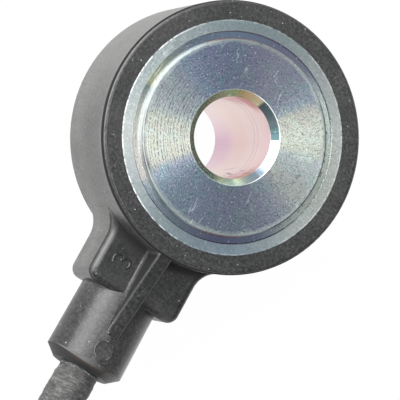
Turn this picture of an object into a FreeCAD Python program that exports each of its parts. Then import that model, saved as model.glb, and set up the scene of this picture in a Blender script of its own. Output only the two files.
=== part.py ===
import FreeCAD, Part
import math
import os
import re
import Sketcher

# Knock sensor with a short tail and a two-core lead, lying on the end of its steel sleeve with the
# contact face up. The bolt bore runs along Z, the plane of the sleeve's lower end is Z = 0, and the
# moulded tail points along -Y. Millimetres throughout.

V = FreeCAD.Vector
doc = FreeCAD.newDocument("knock_sensor")

# Driving dimensions: name, value, what it measures.
SIZES = [
    ("bore_dia", 8.4, "clearance bore for an M8 bolt"),
    ("sleeve_wall", 2.0, "wall of the sleeve's tube"),
    ("end_length", 2.0, "sleeve below the clamp nut"),
    ("end_chamfer", 0.3, "outer edge of that end"),
    ("flange_over", 2.06, "sleeve flange outside the seismic mass"),
    ("flange_thick", 3.0, "flange below its face"),
    ("land_wide", 1.12, "flange face outside the sunk band"),
    ("band_wide", 0.81, "sunk band round the pad"),
    ("band_sink", 0.12, "band below the flange face"),
    ("pad_rise", 0.5, "contact pad above the flange face"),
    ("pad_edge", 0.12, "rounding of the pad's edge"),
    ("mouth_wide", 0.74, "bore chamfer at the pad, seen from above"),
    ("mouth_depth", 0.75, "depth of that chamfer"),
    ("rim_groove_wide", 0.6, "grip grooves round the flange"),
    ("rim_groove_deep", 0.4, "their depth"),
    ("neck_groove_wide", 0.4, "sealing groove near the sleeve's lower end"),
    ("neck_groove_deep", 0.3, "its depth"),
    ("neck_groove_from", 0.2, "from the hub's lower face to the groove"),
    ("insulator_inset", 0.2, "insulating washers inside the mass's rim"),
    ("insulator_thick", 0.25, "their thickness"),
    ("contact_thick", 0.3, "contact discs and their tabs"),
    ("piezo_inset", 0.5, "piezo ring and contact discs inside the mass's rim"),
    ("piezo_thick", 2.6, "piezo ring"),
    ("tube_wall", 0.25, "insulating tube round the sleeve"),
    ("tube_overlap", 1.2, "how far the tube reaches into the mass"),
    ("ring_gap", 0.1, "rings round the insulating tube"),
    ("mass_wall", 3.45, "seismic mass, from its bore to its rim"),
    ("mass_thick", 4.4, "its height"),
    ("spring_inset", 1.25, "disc spring inside the mass's rim"),
    ("spring_thick", 0.5, "its sheet"),
    ("spring_height", 0.7, "its clamped height"),
    ("nut_wall", 1.8, "clamp nut, from its bore to a flat"),
    ("nut_thick", 2.4, "clamp nut"),
    ("disc_wall", 2.04, "moulded disc outside the flange, at its face"),
    ("disc_depth", 12.0, "disc from its face to its back"),
    ("draft", 1.4, "mould draft in degrees"),
    ("face_round", 0.42, "rounding of the disc's front edge"),
    ("back_round", 0.95, "rounding of the disc's back edge"),
    ("hub_wall", 1.16, "moulded hub outside the nut's corners"),
    ("nut_cover", 0.8, "moulding over the nut's lower face"),
    ("hub_round", 0.5, "rounding of the hub's edge"),
    ("tail_level", 8.4, "height of the tail's axis"),
    ("tail_root_dia", 8.07, "tail where it leaves the disc"),
    ("tail_dia", 8.47, "tail at its end"),
    ("tail_long", 8.2, "tail beyond the shoulder block"),
    ("tail_bevel", 1.14, "end bevel, across the tail"),
    ("tail_bevel_run", 0.95, "end bevel, along the tail"),
    ("block_wide", 11.0, "shoulder block across the tail"),
    ("block_long", 5.3, "shoulder block beyond the disc"),
    ("block_rise", 4.08, "its upper face above the tail's axis"),
    ("block_fall", 3.5, "its lower face below the tail's axis"),
    ("block_corner", 1.25, "plan radius of its corners"),
    ("block_blend", 2.8, "plan radius where it runs into the disc"),
    ("block_front_round", 0.75, "rounding of its upper edges"),
    ("block_back_round", 1.4, "rounding of its lower edges"),
    ("rib_foot", 2.1, "gusset rib at its foot"),
    ("rib_crest", 1.6, "gusset rib at its crest"),
    ("rib_round", 0.3, "rounding of the crest"),
    ("rib_fillet", 0.25, "fillet along the rib's foot"),
    ("rib_drop", 0.6, "crest below the disc's face at the wall"),
    ("rib_stop", 3.3, "end of the rib from the tail's end face"),
    ("rib_sink", 0.3, "crest below the tail's crest at that end"),
    ("gate_dia", 1.95, "round witness mark on the tail"),
    ("gate_back", 2.43, "its centre from the tail's end face"),
    ("gate_deep", 0.24, "its floor below the tail's crest"),
    ("cable_dia", 4.4, "sleeved lead"),
    ("cable_grip", 8.0, "lead inside the tail"),
    ("core_dia", 1.5, "insulated core"),
    ("core_pitch", 2.2, "the two cores in the tail, axis to axis"),
    ("core_strip", 2.4, "insulated stretch of a core past the lead's inner end"),
    ("wire_dia", 0.8, "bare conductor"),
    ("wire_bare", 2.8, "bare stretch that is welded to a tab"),
    ("weld_wide", 1.1, "conductor where it is pressed flat on a tab"),
    ("weld_high", 0.5, "its height there"),
    ("weld_gap", 0.4, "tab's end short of the insulation"),
    ("tab_wide", 1.6, "contact tabs"),
    ("tab_neck", 1.5, "tab's first bend outside the contact disc"),
    ("tab_flat", 3.6, "tab beyond its second bend"),
    ("chip_long", 3.2, "bleed resistor across the tabs"),
    ("chip_wide", 1.6, "its width"),
    ("chip_high", 0.6, "its height"),
    ("plug_wide", 11.0, "connector housing"),
    ("plug_high", 9.4, "its height"),
    ("plug_long", 20.0, "its length"),
    ("plug_corner", 1.6, "its edges along the axis"),
    ("plug_wall", 1.2, "wall round the mating socket"),
    ("socket_deep", 10.5, "mating socket"),
    ("socket_corner", 1.0, "its corners"),
    ("seal_wall", 1.8, "wall round the seal chamber"),
    ("seal_deep", 4.2, "seal chamber"),
    ("seal_waist", 0.3, "seal's body inside its lips"),
    ("seal_lip", 0.6, "each lip along the axis"),
    ("cap_inset", 1.2, "rear cap inside the housing"),
    ("cap_plate", 1.0, "rear cap outside the housing"),
    ("cap_edge", 0.6, "step from the housing's side to the cap's"),
    ("collar_wall", 1.2, "collar round the lead"),
    ("collar_long", 2.4, "its length"),
    ("pin_pitch", 5.0, "the two pins, axis to axis"),
    ("pin_dia", 1.5, "mating part of a pin"),
    ("pin_shank_dia", 2.3, "pin inside the housing"),
    ("pin_gap", 0.05, "round the shank and the retainer"),
    ("pin_reach", 6.0, "pin inside the socket"),
    ("crimp_deep", 1.8, "conductor inside the pin"),
    ("key_side", 1.1, "pin retainer beyond the pins' axes"),
    ("key_long", 1.3, "its length"),
    ("key_from", 6.2, "retainer from the housing's rear face"),
    ("catch_wide", 4.0, "catch for the mating latch"),
    ("catch_high", 0.9, "its height"),
    ("catch_long", 3.0, "its length"),
    ("catch_from", 12.0, "its start from the housing's rear face"),
    ("grip_deep", 0.4, "grip ribs on the housing's sides"),
    ("grip_wide", 0.8, "one rib"),
    ("grip_step", 1.7, "rib to rib"),
    ("grip_from", 1.2, "first rib from the rear face"),
]

# Levels and sizes that follow from the driving ones, counted up from the sleeve's lower end.
DERIVED = {
    "sleeve_dia": "bore_dia + 2 * sleeve_wall",
    "nut_top": "end_length + nut_thick",
    "mass_base": "nut_top + spring_height",
    "mass_top": "mass_base + mass_thick",
    "mass_washer": "mass_top + insulator_thick",
    "piezo_base": "mass_washer + contact_thick",
    "piezo_top": "piezo_base + piezo_thick",
    "first_contact": "piezo_top + contact_thick",
    "flange_under": "first_contact + insulator_thick",
    "face_level": "flange_under + flange_thick",
    "sleeve_length": "face_level + pad_rise",
    "mass_dia": "ring_bore + 2 * mass_wall",
    "insulator_dia": "mass_dia - 2 * insulator_inset",
    "piezo_dia": "mass_dia - 2 * piezo_inset",
    "spring_dia": "mass_dia - 2 * spring_inset",
    "flange_dia": "mass_dia + 2 * flange_over",
    "nut_flats": "sleeve_dia + 2 * nut_wall",
    "band_dia": "flange_dia - 2 * land_wide",
    "pad_dia": "band_dia - 2 * band_wide",
    "mouth_dia": "bore_dia + 2 * mouth_wide",
    "tube_dia": "sleeve_dia + 2 * tube_wall",
    "ring_bore": "tube_dia + 2 * ring_gap",
    "disc_dia": "flange_dia + 2 * disc_wall",
    "disc_back": "face_level - disc_depth",
    "disc_back_dia": "disc_dia - 2 * disc_depth * tan(draft)",
    "hub_dia": "nut_flats / cos(30) + 2 * hub_wall",
    "hub_level": "end_length - nut_cover",
    "neck_groove": "hub_level + neck_groove_from",
    "block_end": "disc_dia / 2 + block_long",
    "block_top": "tail_level + block_rise",
    "block_base": "tail_level - block_fall",
    "tail_length": "block_end + tail_long",
    "tail_crest": "tail_level + tail_dia / 2",
    "tail_face_dia": "tail_dia - 2 * tail_bevel",
    "back_leg": "back_round / tan(45 + draft / 2)",
    "blend_far": "sqrt((disc_dia / 2 + block_blend)^2 - (block_wide / 2 + block_blend)^2)",
    "blend_share": "disc_dia / (disc_dia + 2 * block_blend)",
    "rib_reach": "tail_length - rib_stop",
    "rib_wall": "disc_dia / 2 - 1",
    "rib_base": "tail_level + tail_dia / 4",
    "rib_end_top": "tail_crest - rib_sink",
    "rib_fall": "(face_level - rib_drop - rib_end_top) / (rib_reach - disc_dia / 2)",
    "rib_wall_top": "face_level - rib_drop + rib_fall",
    "gate_reach": "tail_length - gate_back",
    "cable_stop": "tail_length - cable_grip",
    "core_stop": "cable_stop - core_strip",
    "tab_top": "tail_level - weld_high / 2",
    "tab_bend": "piezo_dia / 2 + tab_neck",
    "tab_end": "core_stop - weld_gap",
    "tab_foot": "tab_end - tab_flat",
    "socket_wide": "plug_wide - 2 * plug_wall",
    "socket_high": "plug_high - 2 * plug_wall",
    "socket_floor": "plug_long - socket_deep",
    "seal_wide": "plug_wide - 2 * seal_wall",
    "seal_high": "plug_high - 2 * seal_wall",
    "collar_dia": "cable_dia + 2 * collar_wall",
    "pin_level": "plug_high / 2",
    "shank_bore": "pin_shank_dia + 2 * pin_gap",
    "key_wide": "pin_pitch + 2 * key_side",
}

sheet = doc.addObject("Spreadsheet::Sheet", "Sizes")
for row, (name, number, note) in enumerate(SIZES, start=1):
    sheet.set(f"A{row}", name)
    sheet.set(f"B{row}", str(number))
    sheet.set(f"C{row}", note)
    sheet.setAlias(f"B{row}", name)
doc.recompute()
ALIASES = {name for name, number, note in SIZES}


def bound(text):
    """Turns words such as 'bore_dia / 2' into an expression on the sheet."""

    def swap(found):
        word = found.group(0)
        if word in DERIVED:
            return "(" + bound(DERIVED[word]) + ")"
        return "Sizes." + word if word in ALIASES else word

    return re.sub(r"[a-z_]+", swap, str(text))


def value(text):
    return float(sheet.evalExpression(bound(text)))


def new_body(label):
    body = doc.addObject("PartDesign::Body", label)
    body.Label = label
    return body


def new_sketch(body, name, role, lift="0", shift=("0", "0")):
    """A sketch on one of the body's own origin planes, lifted along its normal and shifted in it."""
    sketch = body.newObject("Sketcher::SketchObject", name)
    plane = next(f for f in body.Origin.OriginFeatures if f.Role == role)
    sketch.AttachmentSupport = [(plane, "")]
    sketch.MapMode = "FlatFace"
    sketch.setExpression(".AttachmentOffset.Base.x", bound(shift[0]))
    sketch.setExpression(".AttachmentOffset.Base.y", bound(shift[1]))
    sketch.setExpression(".AttachmentOffset.Base.z", bound(lift))
    return sketch


def outline(sketch, points):
    """Closes a loop through the points. A point is (x, y), or (x, y, radius, turn) where an arc starts
    there: turn 1 bends it to the left and -1 to the right. Every point is tied to the sheet."""
    at = [V(value(p[0]), value(p[1]), 0) for p in points]
    ends = []
    for i, p in enumerate(points):
        a, b = at[i], at[(i + 1) % len(at)]
        if len(p) == 2:
            ends.append((sketch.addGeometry(Part.LineSegment(a, b), False), 1, 2))
            continue
        radius, turn = value(p[2]), p[3]
        half = (b - a) / 2
        side = V(-half.y, half.x, 0).normalize()
        centre = a + half + side * (turn * math.sqrt(max(radius**2 - half.Length**2, 0)))
        angles = [math.atan2(q.y - centre.y, q.x - centre.x) for q in ((a, b) if turn > 0 else (b, a))]
        arc = Part.ArcOfCircle(Part.Circle(centre, V(0, 0, 1), radius), *angles)
        k = sketch.addGeometry(arc, False)
        ends.append((k, 1, 2) if turn > 0 else (k, 2, 1))
        tie(sketch, Sketcher.Constraint("Radius", k, radius), p[2])
    for i, (k, first, last) in enumerate(ends):
        after, its_first, _ = ends[(i + 1) % len(ends)]
        sketch.addConstraint(Sketcher.Constraint("Coincident", k, last, after, its_first))
    for (k, first, _), p, a in zip(ends, points, at):
        tie(sketch, Sketcher.Constraint("DistanceX", -1, 1, k, first, a.x), p[0])
        tie(sketch, Sketcher.Constraint("DistanceY", -1, 1, k, first, a.y), p[1])


def circle(sketch, x, y, diameter):
    k = sketch.addGeometry(Part.Circle(V(value(x), value(y), 0), V(0, 0, 1), value(diameter) / 2), False)
    tie(sketch, Sketcher.Constraint("Diameter", k, value(diameter)), diameter)
    tie(sketch, Sketcher.Constraint("DistanceX", -1, 1, k, 3, value(x)), x)
    tie(sketch, Sketcher.Constraint("DistanceY", -1, 1, k, 3, value(y)), y)


def tie(sketch, constraint, text):
    k = sketch.addConstraint(constraint)
    sketch.setExpression(f"Constraints[{k}]", bound(text))


def rounded(sketch, wide, high, corner, middle="0"):
    """A rectangle with round corners, centred on x = 0 and on the height given."""
    x, y, r = f"({wide}) / 2", f"({high}) / 2", f"({corner})"
    low, top = f"{middle} - {y}", f"{middle} + {y}"
    outline(
        sketch,
        [
            (f"-{x} + {r}", low),
            (f"{x} - {r}", low, corner, 1),
            (x, f"{low} + {r}"),
            (x, f"{top} - {r}", corner, 1),
            (f"{x} - {r}", top),
            (f"-{x} + {r}", top, corner, 1),
            (f"-{x}", f"{top} - {r}"),
            (f"-{x}", f"{low} + {r}", corner, 1),
        ],
    )


def pad(body, name, sketch, length, **more):
    feature = body.newObject("PartDesign::Pad", name)
    feature.Profile = sketch
    feature.setExpression("Length", bound(length))
    for key, setting in more.items():
        setattr(feature, key, setting)
    return feature


def pocket(body, name, sketch, depth, **more):
    """Cuts the sketch out of the body, and makes sure that something was cut."""
    doc.recompute()
    before = body.Shape.Volume
    feature = body.newObject("PartDesign::Pocket", name)
    feature.Profile = sketch
    feature.setExpression("Length", bound(depth))
    for key, setting in more.items():
        setattr(feature, key, setting)
    doc.recompute()
    if body.Shape.Volume > before - 1e-6:
        raise RuntimeError(name + " cuts nothing")
    return feature


def revolve(body, name, sketch, axis):
    feature = body.newObject("PartDesign::Revolution", name)
    feature.Profile = sketch
    feature.ReferenceAxis = (sketch, [axis])
    feature.Angle = 360
    return feature


def dress(body, kind, name, radius, wanted):
    """A fillet or chamfer on the edges of the body that pass the test."""
    doc.recompute()
    base = body.Tip
    found = [f"Edge{i}" for i, e in enumerate(base.Shape.Edges, start=1) if wanted(e)]
    if not found:
        raise RuntimeError(name + " finds no edge")
    feature = body.newObject("PartDesign::" + kind, name)
    feature.Base = (base, found)
    feature.setExpression("Radius" if kind == "Fillet" else "Size", bound(radius))
    return feature


def at_level(edge, level, near=1e-3):
    """True for an edge that lies flat at this height."""
    box = edge.BoundBox
    return abs(box.ZMin - level) < near and abs(box.ZMax - level) < near


def ring_edge(edge, diameter, level, near=1e-3):
    """True for a full circle about the Z axis with this diameter, at this height."""
    flat = at_level(edge, level, near)
    return flat and isinstance(edge.Curve, Part.Circle) and abs(edge.Curve.Radius * 2 - diameter) < near


def ring(label, inner, outer, base, thick):
    """A plain ring about the Z axis: one cylinder cut out of another."""
    parts = []
    for word, diameter in (("outer", outer), ("bore", inner)):
        part = doc.addObject("Part::Cylinder", f"{label}_{word}")
        part.setExpression("Radius", bound(f"({diameter}) / 2"))
        part.setExpression("Height", bound(thick))
        part.setExpression(".Placement.Base.z", bound(base))
        parts.append(part)
    cut = doc.addObject("Part::Cut", label)
    cut.Base, cut.Tool = parts
    cut.Label = label
    return cut


def rod(name, diameter, near_end, long, x, z):
    """A round bar along -Y that starts this far from the origin."""
    part = doc.addObject("Part::Cylinder", name)
    part.setExpression("Radius", bound(f"({diameter}) / 2"))
    part.setExpression("Height", bound(long))
    part.Placement = FreeCAD.Placement(V(0, 0, 0), FreeCAD.Rotation(V(1, 0, 0), 90))
    part.setExpression(".Placement.Base.x", bound(x))
    part.setExpression(".Placement.Base.y", bound(f"-({near_end})"))
    part.setExpression(".Placement.Base.z", bound(z))
    return part


# Steel sleeve: turned from bar in one piece. The pad that seats on the engine block is on top, with a
# fine sunk band round it, then the outer land, which ends flush with the moulding.
NECK_SIDE = [
    ("sleeve_dia / 2", "neck_groove"),
    ("sleeve_dia / 2 - neck_groove_deep", "neck_groove"),
    ("sleeve_dia / 2 - neck_groove_deep", "neck_groove + neck_groove_wide"),
    ("sleeve_dia / 2", "neck_groove + neck_groove_wide"),
]
RIM_STEPS = ["flange_under + rim_groove_wide", "flange_under + 3 * rim_groove_wide"]
RIM_SIDE = []
for step in RIM_STEPS:
    RIM_SIDE += [
        ("flange_dia / 2", step),
        ("flange_dia / 2 - rim_groove_deep", step),
        ("flange_dia / 2 - rim_groove_deep", step + " + rim_groove_wide"),
        ("flange_dia / 2", step + " + rim_groove_wide"),
    ]

sleeve = new_body("sleeve")
turned = new_sketch(sleeve, "sleeve_profile", "XZ_Plane")
outline(
    turned,
    [("bore_dia / 2", "0"), ("sleeve_dia / 2 - end_chamfer", "0"), ("sleeve_dia / 2", "end_chamfer")]
    + NECK_SIDE
    + [("sleeve_dia / 2", "flange_under"), ("flange_dia / 2", "flange_under")]
    + RIM_SIDE
    + [
        ("flange_dia / 2", "face_level"),
        ("band_dia / 2", "face_level"),
        ("band_dia / 2 - band_sink", "face_level - band_sink"),
        ("pad_dia / 2", "face_level - band_sink"),
        ("pad_dia / 2", "sleeve_length"),
        ("mouth_dia / 2", "sleeve_length"),
        ("bore_dia / 2", "sleeve_length - mouth_depth"),
    ],
)
revolve(sleeve, "sleeve_turned", turned, "V_Axis")
dress(
    sleeve,
    "Fillet",
    "pad_edge_round",
    "pad_edge",
    lambda e: ring_edge(e, value("pad_dia"), value("sleeve_length")),
)

# Stack round the sleeve, from the flange down: insulating washer, contact disc, piezo ring, contact
# disc, insulating washer, seismic mass, disc spring and clamp nut, over a thin insulating tube.
insulating_tube = ring(
    "insulating_tube",
    "sleeve_dia",
    "tube_dia",
    "mass_top - tube_overlap",
    "flange_under - mass_top + tube_overlap",
)
ring("flange_insulator", "ring_bore", "insulator_dia", "first_contact", "insulator_thick")
ring("piezo_ring", "ring_bore", "piezo_dia", "piezo_base", "piezo_thick")
ring("mass_insulator", "ring_bore", "insulator_dia", "mass_top", "insulator_thick")

seismic_mass = new_body("seismic_mass")
mass_side = new_sketch(seismic_mass, "mass_profile", "XZ_Plane")
outline(
    mass_side,
    [
        ("ring_bore / 2", "mass_base"),
        ("mass_dia / 2", "mass_base"),
        ("mass_dia / 2", "mass_top"),
        ("ring_bore / 2", "mass_top"),
    ],
)
revolve(seismic_mass, "mass_turned", mass_side, "V_Axis")

disc_spring = new_body("disc_spring")
spring_side = new_sketch(disc_spring, "spring_profile", "XZ_Plane")
outline(
    spring_side,
    [
        ("ring_bore / 2", "nut_top"),
        ("spring_dia / 2", "mass_base - spring_thick"),
        ("spring_dia / 2", "mass_base"),
        ("ring_bore / 2", "nut_top + spring_thick"),
    ],
)
revolve(disc_spring, "spring_formed", spring_side, "V_Axis")

nut_blank = doc.addObject("Part::Prism", "nut_blank")
nut_blank.Polygon = 6
nut_blank.setExpression("Circumradius", bound("nut_flats / 2 / cos(30)"))
nut_blank.setExpression("Height", bound("nut_thick"))
nut_blank.setExpression(".Placement.Base.z", bound("end_length"))
nut_bore = doc.addObject("Part::Cylinder", "nut_bore")
nut_bore.setExpression("Radius", bound("sleeve_dia / 2"))
nut_bore.setExpression("Height", bound("nut_thick"))
nut_bore.setExpression(".Placement.Base.z", bound("end_length"))
clamp_nut = doc.addObject("Part::Cut", "clamp_nut")
clamp_nut.Base = nut_blank
clamp_nut.Tool = nut_bore
clamp_nut.Label = "clamp_nut"


def contact(label, top, x):
    """A stamped disc with a tab that steps down to the level of the cores."""
    body = new_body(label)
    flat = new_sketch(body, label + "_ring", "XY_Plane", lift=f"{top} - contact_thick")
    circle(flat, "0", "0", "piezo_dia")
    circle(flat, "0", "0", "ring_bore")
    pad(body, label + "_disc", flat, "contact_thick")
    fall = f"(({top} - tab_top) / (tab_foot - tab_bend))"
    mitre = f"contact_thick * (sqrt(1 + {fall}^2) - 1) / {fall}"
    side = new_sketch(body, label + "_side", "YZ_Plane", lift=x)
    outline(
        side,
        [
            ("-(piezo_dia / 2 - 0.5)", top),
            ("-(piezo_dia / 2 - 0.5)", f"{top} - contact_thick"),
            (f"-(tab_bend - {mitre})", f"{top} - contact_thick"),
            (f"-(tab_foot - {mitre})", "tab_top - contact_thick"),
            ("-tab_end", "tab_top - contact_thick"),
            ("-tab_end", "tab_top"),
            ("-tab_foot", "tab_top"),
            ("-tab_bend", top),
        ],
    )
    pad(body, label + "_tab", side, "tab_wide", Midplane=True)
    return body


flange_contact = contact("flange_contact", "first_contact", "core_pitch / 2")
mass_contact = contact("mass_contact", "piezo_base", "-core_pitch / 2")

# Bleed resistor: a chip under both tabs, which drains the piezo's charge.
bleed_resistor = doc.addObject("Part::Box", "bleed_resistor")
bleed_resistor.setExpression("Length", bound("chip_long"))
bleed_resistor.setExpression("Width", bound("chip_wide"))
bleed_resistor.setExpression("Height", bound("chip_high"))
bleed_resistor.setExpression(".Placement.Base.x", bound("-chip_long / 2"))
bleed_resistor.setExpression(".Placement.Base.y", bound("-tab_end"))
bleed_resistor.setExpression(".Placement.Base.z", bound("tab_top - contact_thick - chip_high"))
bleed_resistor.Label = "bleed_resistor"


def joined(label, pieces):
    both = doc.addObject("Part::MultiFuse", label)
    both.Shapes = pieces
    both.Label = label
    return both


# Ends of the two cores: the insulation stops short of the tab and the strands are welded flat on it.
CORES = []
for label, x in (("signal_core", "core_pitch / 2"), ("return_core", "-core_pitch / 2")):
    insulation = rod(label + "_insulation", "core_dia", "core_stop", "core_strip", x, "tail_level")
    weld = doc.addObject("Part::Box", label + "_weld")
    weld.setExpression("Length", bound("weld_wide"))
    weld.setExpression("Width", bound("wire_bare"))
    weld.setExpression("Height", bound("weld_high"))
    weld.setExpression(".Placement.Base.x", bound(f"{x} - weld_wide / 2"))
    weld.setExpression(".Placement.Base.y", bound("-core_stop"))
    weld.setExpression(".Placement.Base.z", bound("tab_top"))
    CORES.append(joined(label, [insulation, weld]))

# Moulded housing: one shot of glass-filled nylon round the clamped stack. The shoulder block, the
# round tail and the gusset rib grow out of the disc, and all walls have the mould's draft.
moulding = new_body("moulding")
plan = new_sketch(moulding, "block_plan", "XY_Plane", lift="block_top")
outline(
    plan,
    [
        ("-(block_wide / 2 + block_blend) * blend_share", "-disc_dia / 4"),
        ("-(block_wide / 2 + block_blend) * blend_share", "-blend_far * blend_share", "block_blend", -1),
        ("-block_wide / 2", "-blend_far"),
        ("-block_wide / 2", "-(block_end - block_corner)", "block_corner", 1),
        ("-(block_wide / 2 - block_corner)", "-block_end"),
        ("block_wide / 2 - block_corner", "-block_end", "block_corner", 1),
        ("block_wide / 2", "-(block_end - block_corner)"),
        ("block_wide / 2", "-blend_far", "block_blend", -1),
        ("(block_wide / 2 + block_blend) * blend_share", "-blend_far * blend_share"),
        ("(block_wide / 2 + block_blend) * blend_share", "-disc_dia / 4"),
    ],
)
block = pad(moulding, "block", plan, "block_top - block_base", Reversed=True)
block.setExpression("TaperAngle", bound("-draft"))


def outside_disc(edge):
    """True for an edge of the block that isn't buried in the disc."""
    return edge.CenterOfMass.y < -value("disc_dia") / 4 - 0.5


dress(
    moulding,
    "Fillet",
    "block_front",
    "block_front_round",
    lambda e: at_level(e, value("block_top")) and outside_disc(e),
)
dress(
    moulding,
    "Fillet",
    "block_back",
    "block_back_round",
    lambda e: at_level(e, value("block_base")) and outside_disc(e),
)

disc_side = new_sketch(moulding, "disc_profile", "XZ_Plane")
outline(
    disc_side,
    [
        ("0", "hub_level"),
        ("hub_dia / 2 - (disc_back - hub_level) * tan(3 * draft)", "hub_level"),
        ("hub_dia / 2", "disc_back"),
        ("disc_back_dia / 2 - back_leg", "disc_back", "back_round", 1),
        ("disc_back_dia / 2 + back_leg * sin(draft)", "disc_back + back_leg * cos(draft)"),
        ("disc_dia / 2", "face_level"),
        ("0", "face_level"),
    ],
)
revolve(moulding, "disc", disc_side, "V_Axis")

tail_side = new_sketch(moulding, "tail_profile", "YZ_Plane", shift=("0", "tail_level"))
outline(
    tail_side,
    [
        ("-(disc_dia / 2 - 2)", "0"),
        ("-tail_length", "0"),
        ("-tail_length", "tail_face_dia / 2"),
        ("-(tail_length - tail_bevel_run)", "tail_dia / 2"),
        ("-(disc_dia / 2 - 2)", "tail_root_dia / 2"),
    ],
)
revolve(moulding, "tail", tail_side, "H_Axis")


def rib_section(name, lift, top):
    section = new_sketch(moulding, name, "XZ_Plane", lift=lift)
    outline(
        section,
        [
            ("-rib_foot / 2", "rib_base"),
            ("rib_foot / 2", "rib_base"),
            ("rib_crest / 2", f"{top} - rib_round", "rib_round", 1),
            ("rib_crest / 2 - rib_round", top),
            ("-(rib_crest / 2 - rib_round)", top, "rib_round", 1),
            ("-rib_crest / 2", f"{top} - rib_round"),
        ],
    )
    return section


rib = moulding.newObject("PartDesign::AdditiveLoft", "rib")
rib.Profile = rib_section("rib_at_wall", "rib_wall", "rib_wall_top")
rib.Sections = [rib_section("rib_at_tail", "rib_reach", "rib_end_top")]
rib.Ruled = True

dress(
    moulding,
    "Fillet",
    "face_edge",
    "face_round",
    lambda e: ring_edge(e, value("disc_dia"), value("face_level")),
)
dress(
    moulding,
    "Fillet",
    "hub_edge",
    "hub_round",
    lambda e: at_level(e, value("hub_level")) and e.Length > value("sleeve_dia") * math.pi,
)

dress(
    moulding,
    "Fillet",
    "rib_foot_round",
    "rib_fillet",
    lambda e: at_level(e, value("block_top"))
    and abs(e.CenterOfMass.x) < value("rib_foot") / 2 + 0.1
    and e.BoundBox.YLength > value("rib_foot"),
)

mark = new_sketch(moulding, "witness_mark", "XY_Plane", lift="tail_crest + 1")
circle(mark, "0", "-gate_reach", "gate_dia")
pocket(moulding, "gate_mark", mark, "1 + gate_deep")

# What the shot flows round: the sleeve with its clamped stack, filled out to each piece's rim, and the
# nut, the tabs, the resistor, the cores and the end of the lead.
clamped = new_body("clamped_stack")
stack_side = new_sketch(clamped, "stack_profile", "XZ_Plane")
STACK_RIMS = [
    ("nut_flats / 2", "end_length", "nut_top"),
    ("spring_dia / 2", "nut_top", "mass_base"),
    ("mass_dia / 2", "mass_base", "mass_top"),
    ("insulator_dia / 2", "mass_top", "mass_washer"),
    ("piezo_dia / 2", "mass_washer", "first_contact"),
    ("insulator_dia / 2", "first_contact", "flange_under"),
]
stack_points = [("0", "-1"), ("sleeve_dia / 2", "-1")] + NECK_SIDE
stack_points.append(("sleeve_dia / 2", "end_length"))
for radius, low, high in STACK_RIMS:
    stack_points += [(radius, low), (radius, high)]
stack_points.append(("flange_dia / 2", "flange_under"))
stack_points += RIM_SIDE
stack_points += [("flange_dia / 2", "sleeve_length + 1"), ("0", "sleeve_length + 1")]
outline(stack_side, stack_points)
revolve(clamped, "stack_envelope", stack_side, "V_Axis")

lead_end = rod("lead_end", "cable_dia", "cable_stop", "tail_length - cable_stop + 1", "0", "tail_level")
inserts = doc.addObject("Part::MultiFuse", "inserts")
inserts.Shapes = [clamped, nut_blank, flange_contact, mass_contact, bleed_resistor, lead_end] + CORES
housing = doc.addObject("Part::Cut", "housing")
housing.Base = moulding
housing.Tool = inserts
housing.Label = "housing"

# Lead: a thin crinkled sleeve over two cores. It leaves the tail along -Y, sinks to the surface and
# lies in one neat turn that closes in on the connector. The turn's two bends are worked out.
doc.recompute()
RING_CENTRE = V(23.5, -52.0, 0)
RING_SIDES = 12
RING_APOTHEM = 23.0
CURL_CENTRE = RING_CENTRE + V(8.3, 7.0, 0)
CURL_SIDES = 10
CURL_APOTHEM = 14.7
LAID_LEVEL = 2.25
LAST_RUN = 9.5
ring_radius = RING_APOTHEM / math.cos(math.pi / RING_SIDES)
curl_radius = CURL_APOTHEM / math.cos(math.pi / CURL_SIDES)
plug_axis = value("pin_level")
route = [
    V(0, -value("cable_stop"), value("tail_level")),
    V(0, -value("tail_length") - 7.4, value("tail_level")),
    V(1.0, -48.5, 5.2),
]
for k, level in enumerate((2.9, LAID_LEVEL, LAID_LEVEL, LAID_LEVEL, LAID_LEVEL, LAID_LEVEL)):
    angle = math.pi + (2 * k + 1) * math.pi / RING_SIDES
    route.append(RING_CENTRE + V(ring_radius * math.cos(angle), ring_radius * math.sin(angle), level))
for k, level in enumerate((LAID_LEVEL, 2.4, 3.1, 4.2, plug_axis)):
    angle = (2 * k + 1) * math.pi / CURL_SIDES
    route.append(CURL_CENTRE + V(curl_radius * math.cos(angle), curl_radius * math.sin(angle), level))
route.append(route[-1] - V(0, LAST_RUN, 0))


def tube(points, diameter):
    """A round tube along straight runs joined by tangent arcs, each as large as its runs allow."""
    edges = []
    radii = []
    start = points[0]
    for before, corner, after in zip(points, points[1:], points[2:]):
        coming = (corner - before).normalize()
        going = (after - corner).normalize()
        half_turn = coming.getAngle(going) / 2
        leg = 0.45 * min(before.distanceToPoint(corner), corner.distanceToPoint(after))
        radius = leg / math.tan(half_turn)
        inward = (going - coming).normalize()
        middle = corner + inward * (radius / math.cos(half_turn) - radius)
        first = corner - coming * leg
        last = corner + going * leg
        edges.append(Part.LineSegment(start, first).toShape())
        edges.append(Part.Arc(first, middle, last).toShape())
        radii.append(radius)
        start = last
    edges.append(Part.LineSegment(start, points[-1]).toShape())
    path = Part.Wire(edges)
    direction = (points[1] - points[0]).normalize()
    section = Part.Wire(Part.Circle(points[0], direction, diameter / 2).toShape())
    solid = path.makePipeShell([section], True, False)
    expected = math.pi * diameter**2 / 4 * path.Length
    print(f"lead: {path.Length:.1f} mm along its middle, volume {solid.Volume:.1f} of {expected:.1f} mm3")
    print("lead bend radii: " + ", ".join(f"{r:.1f}" for r in radii) + " mm")
    if abs(solid.Volume - expected) > 0.01 * expected:
        raise RuntimeError("the lead's volume isn't its section times its length")
    return solid


cable = doc.addObject("Part::Feature", "cable")
cable.Shape = tube(route, value("cable_dia"))
cable.Placement = FreeCAD.Placement()
cable.Label = "cable"

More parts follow.
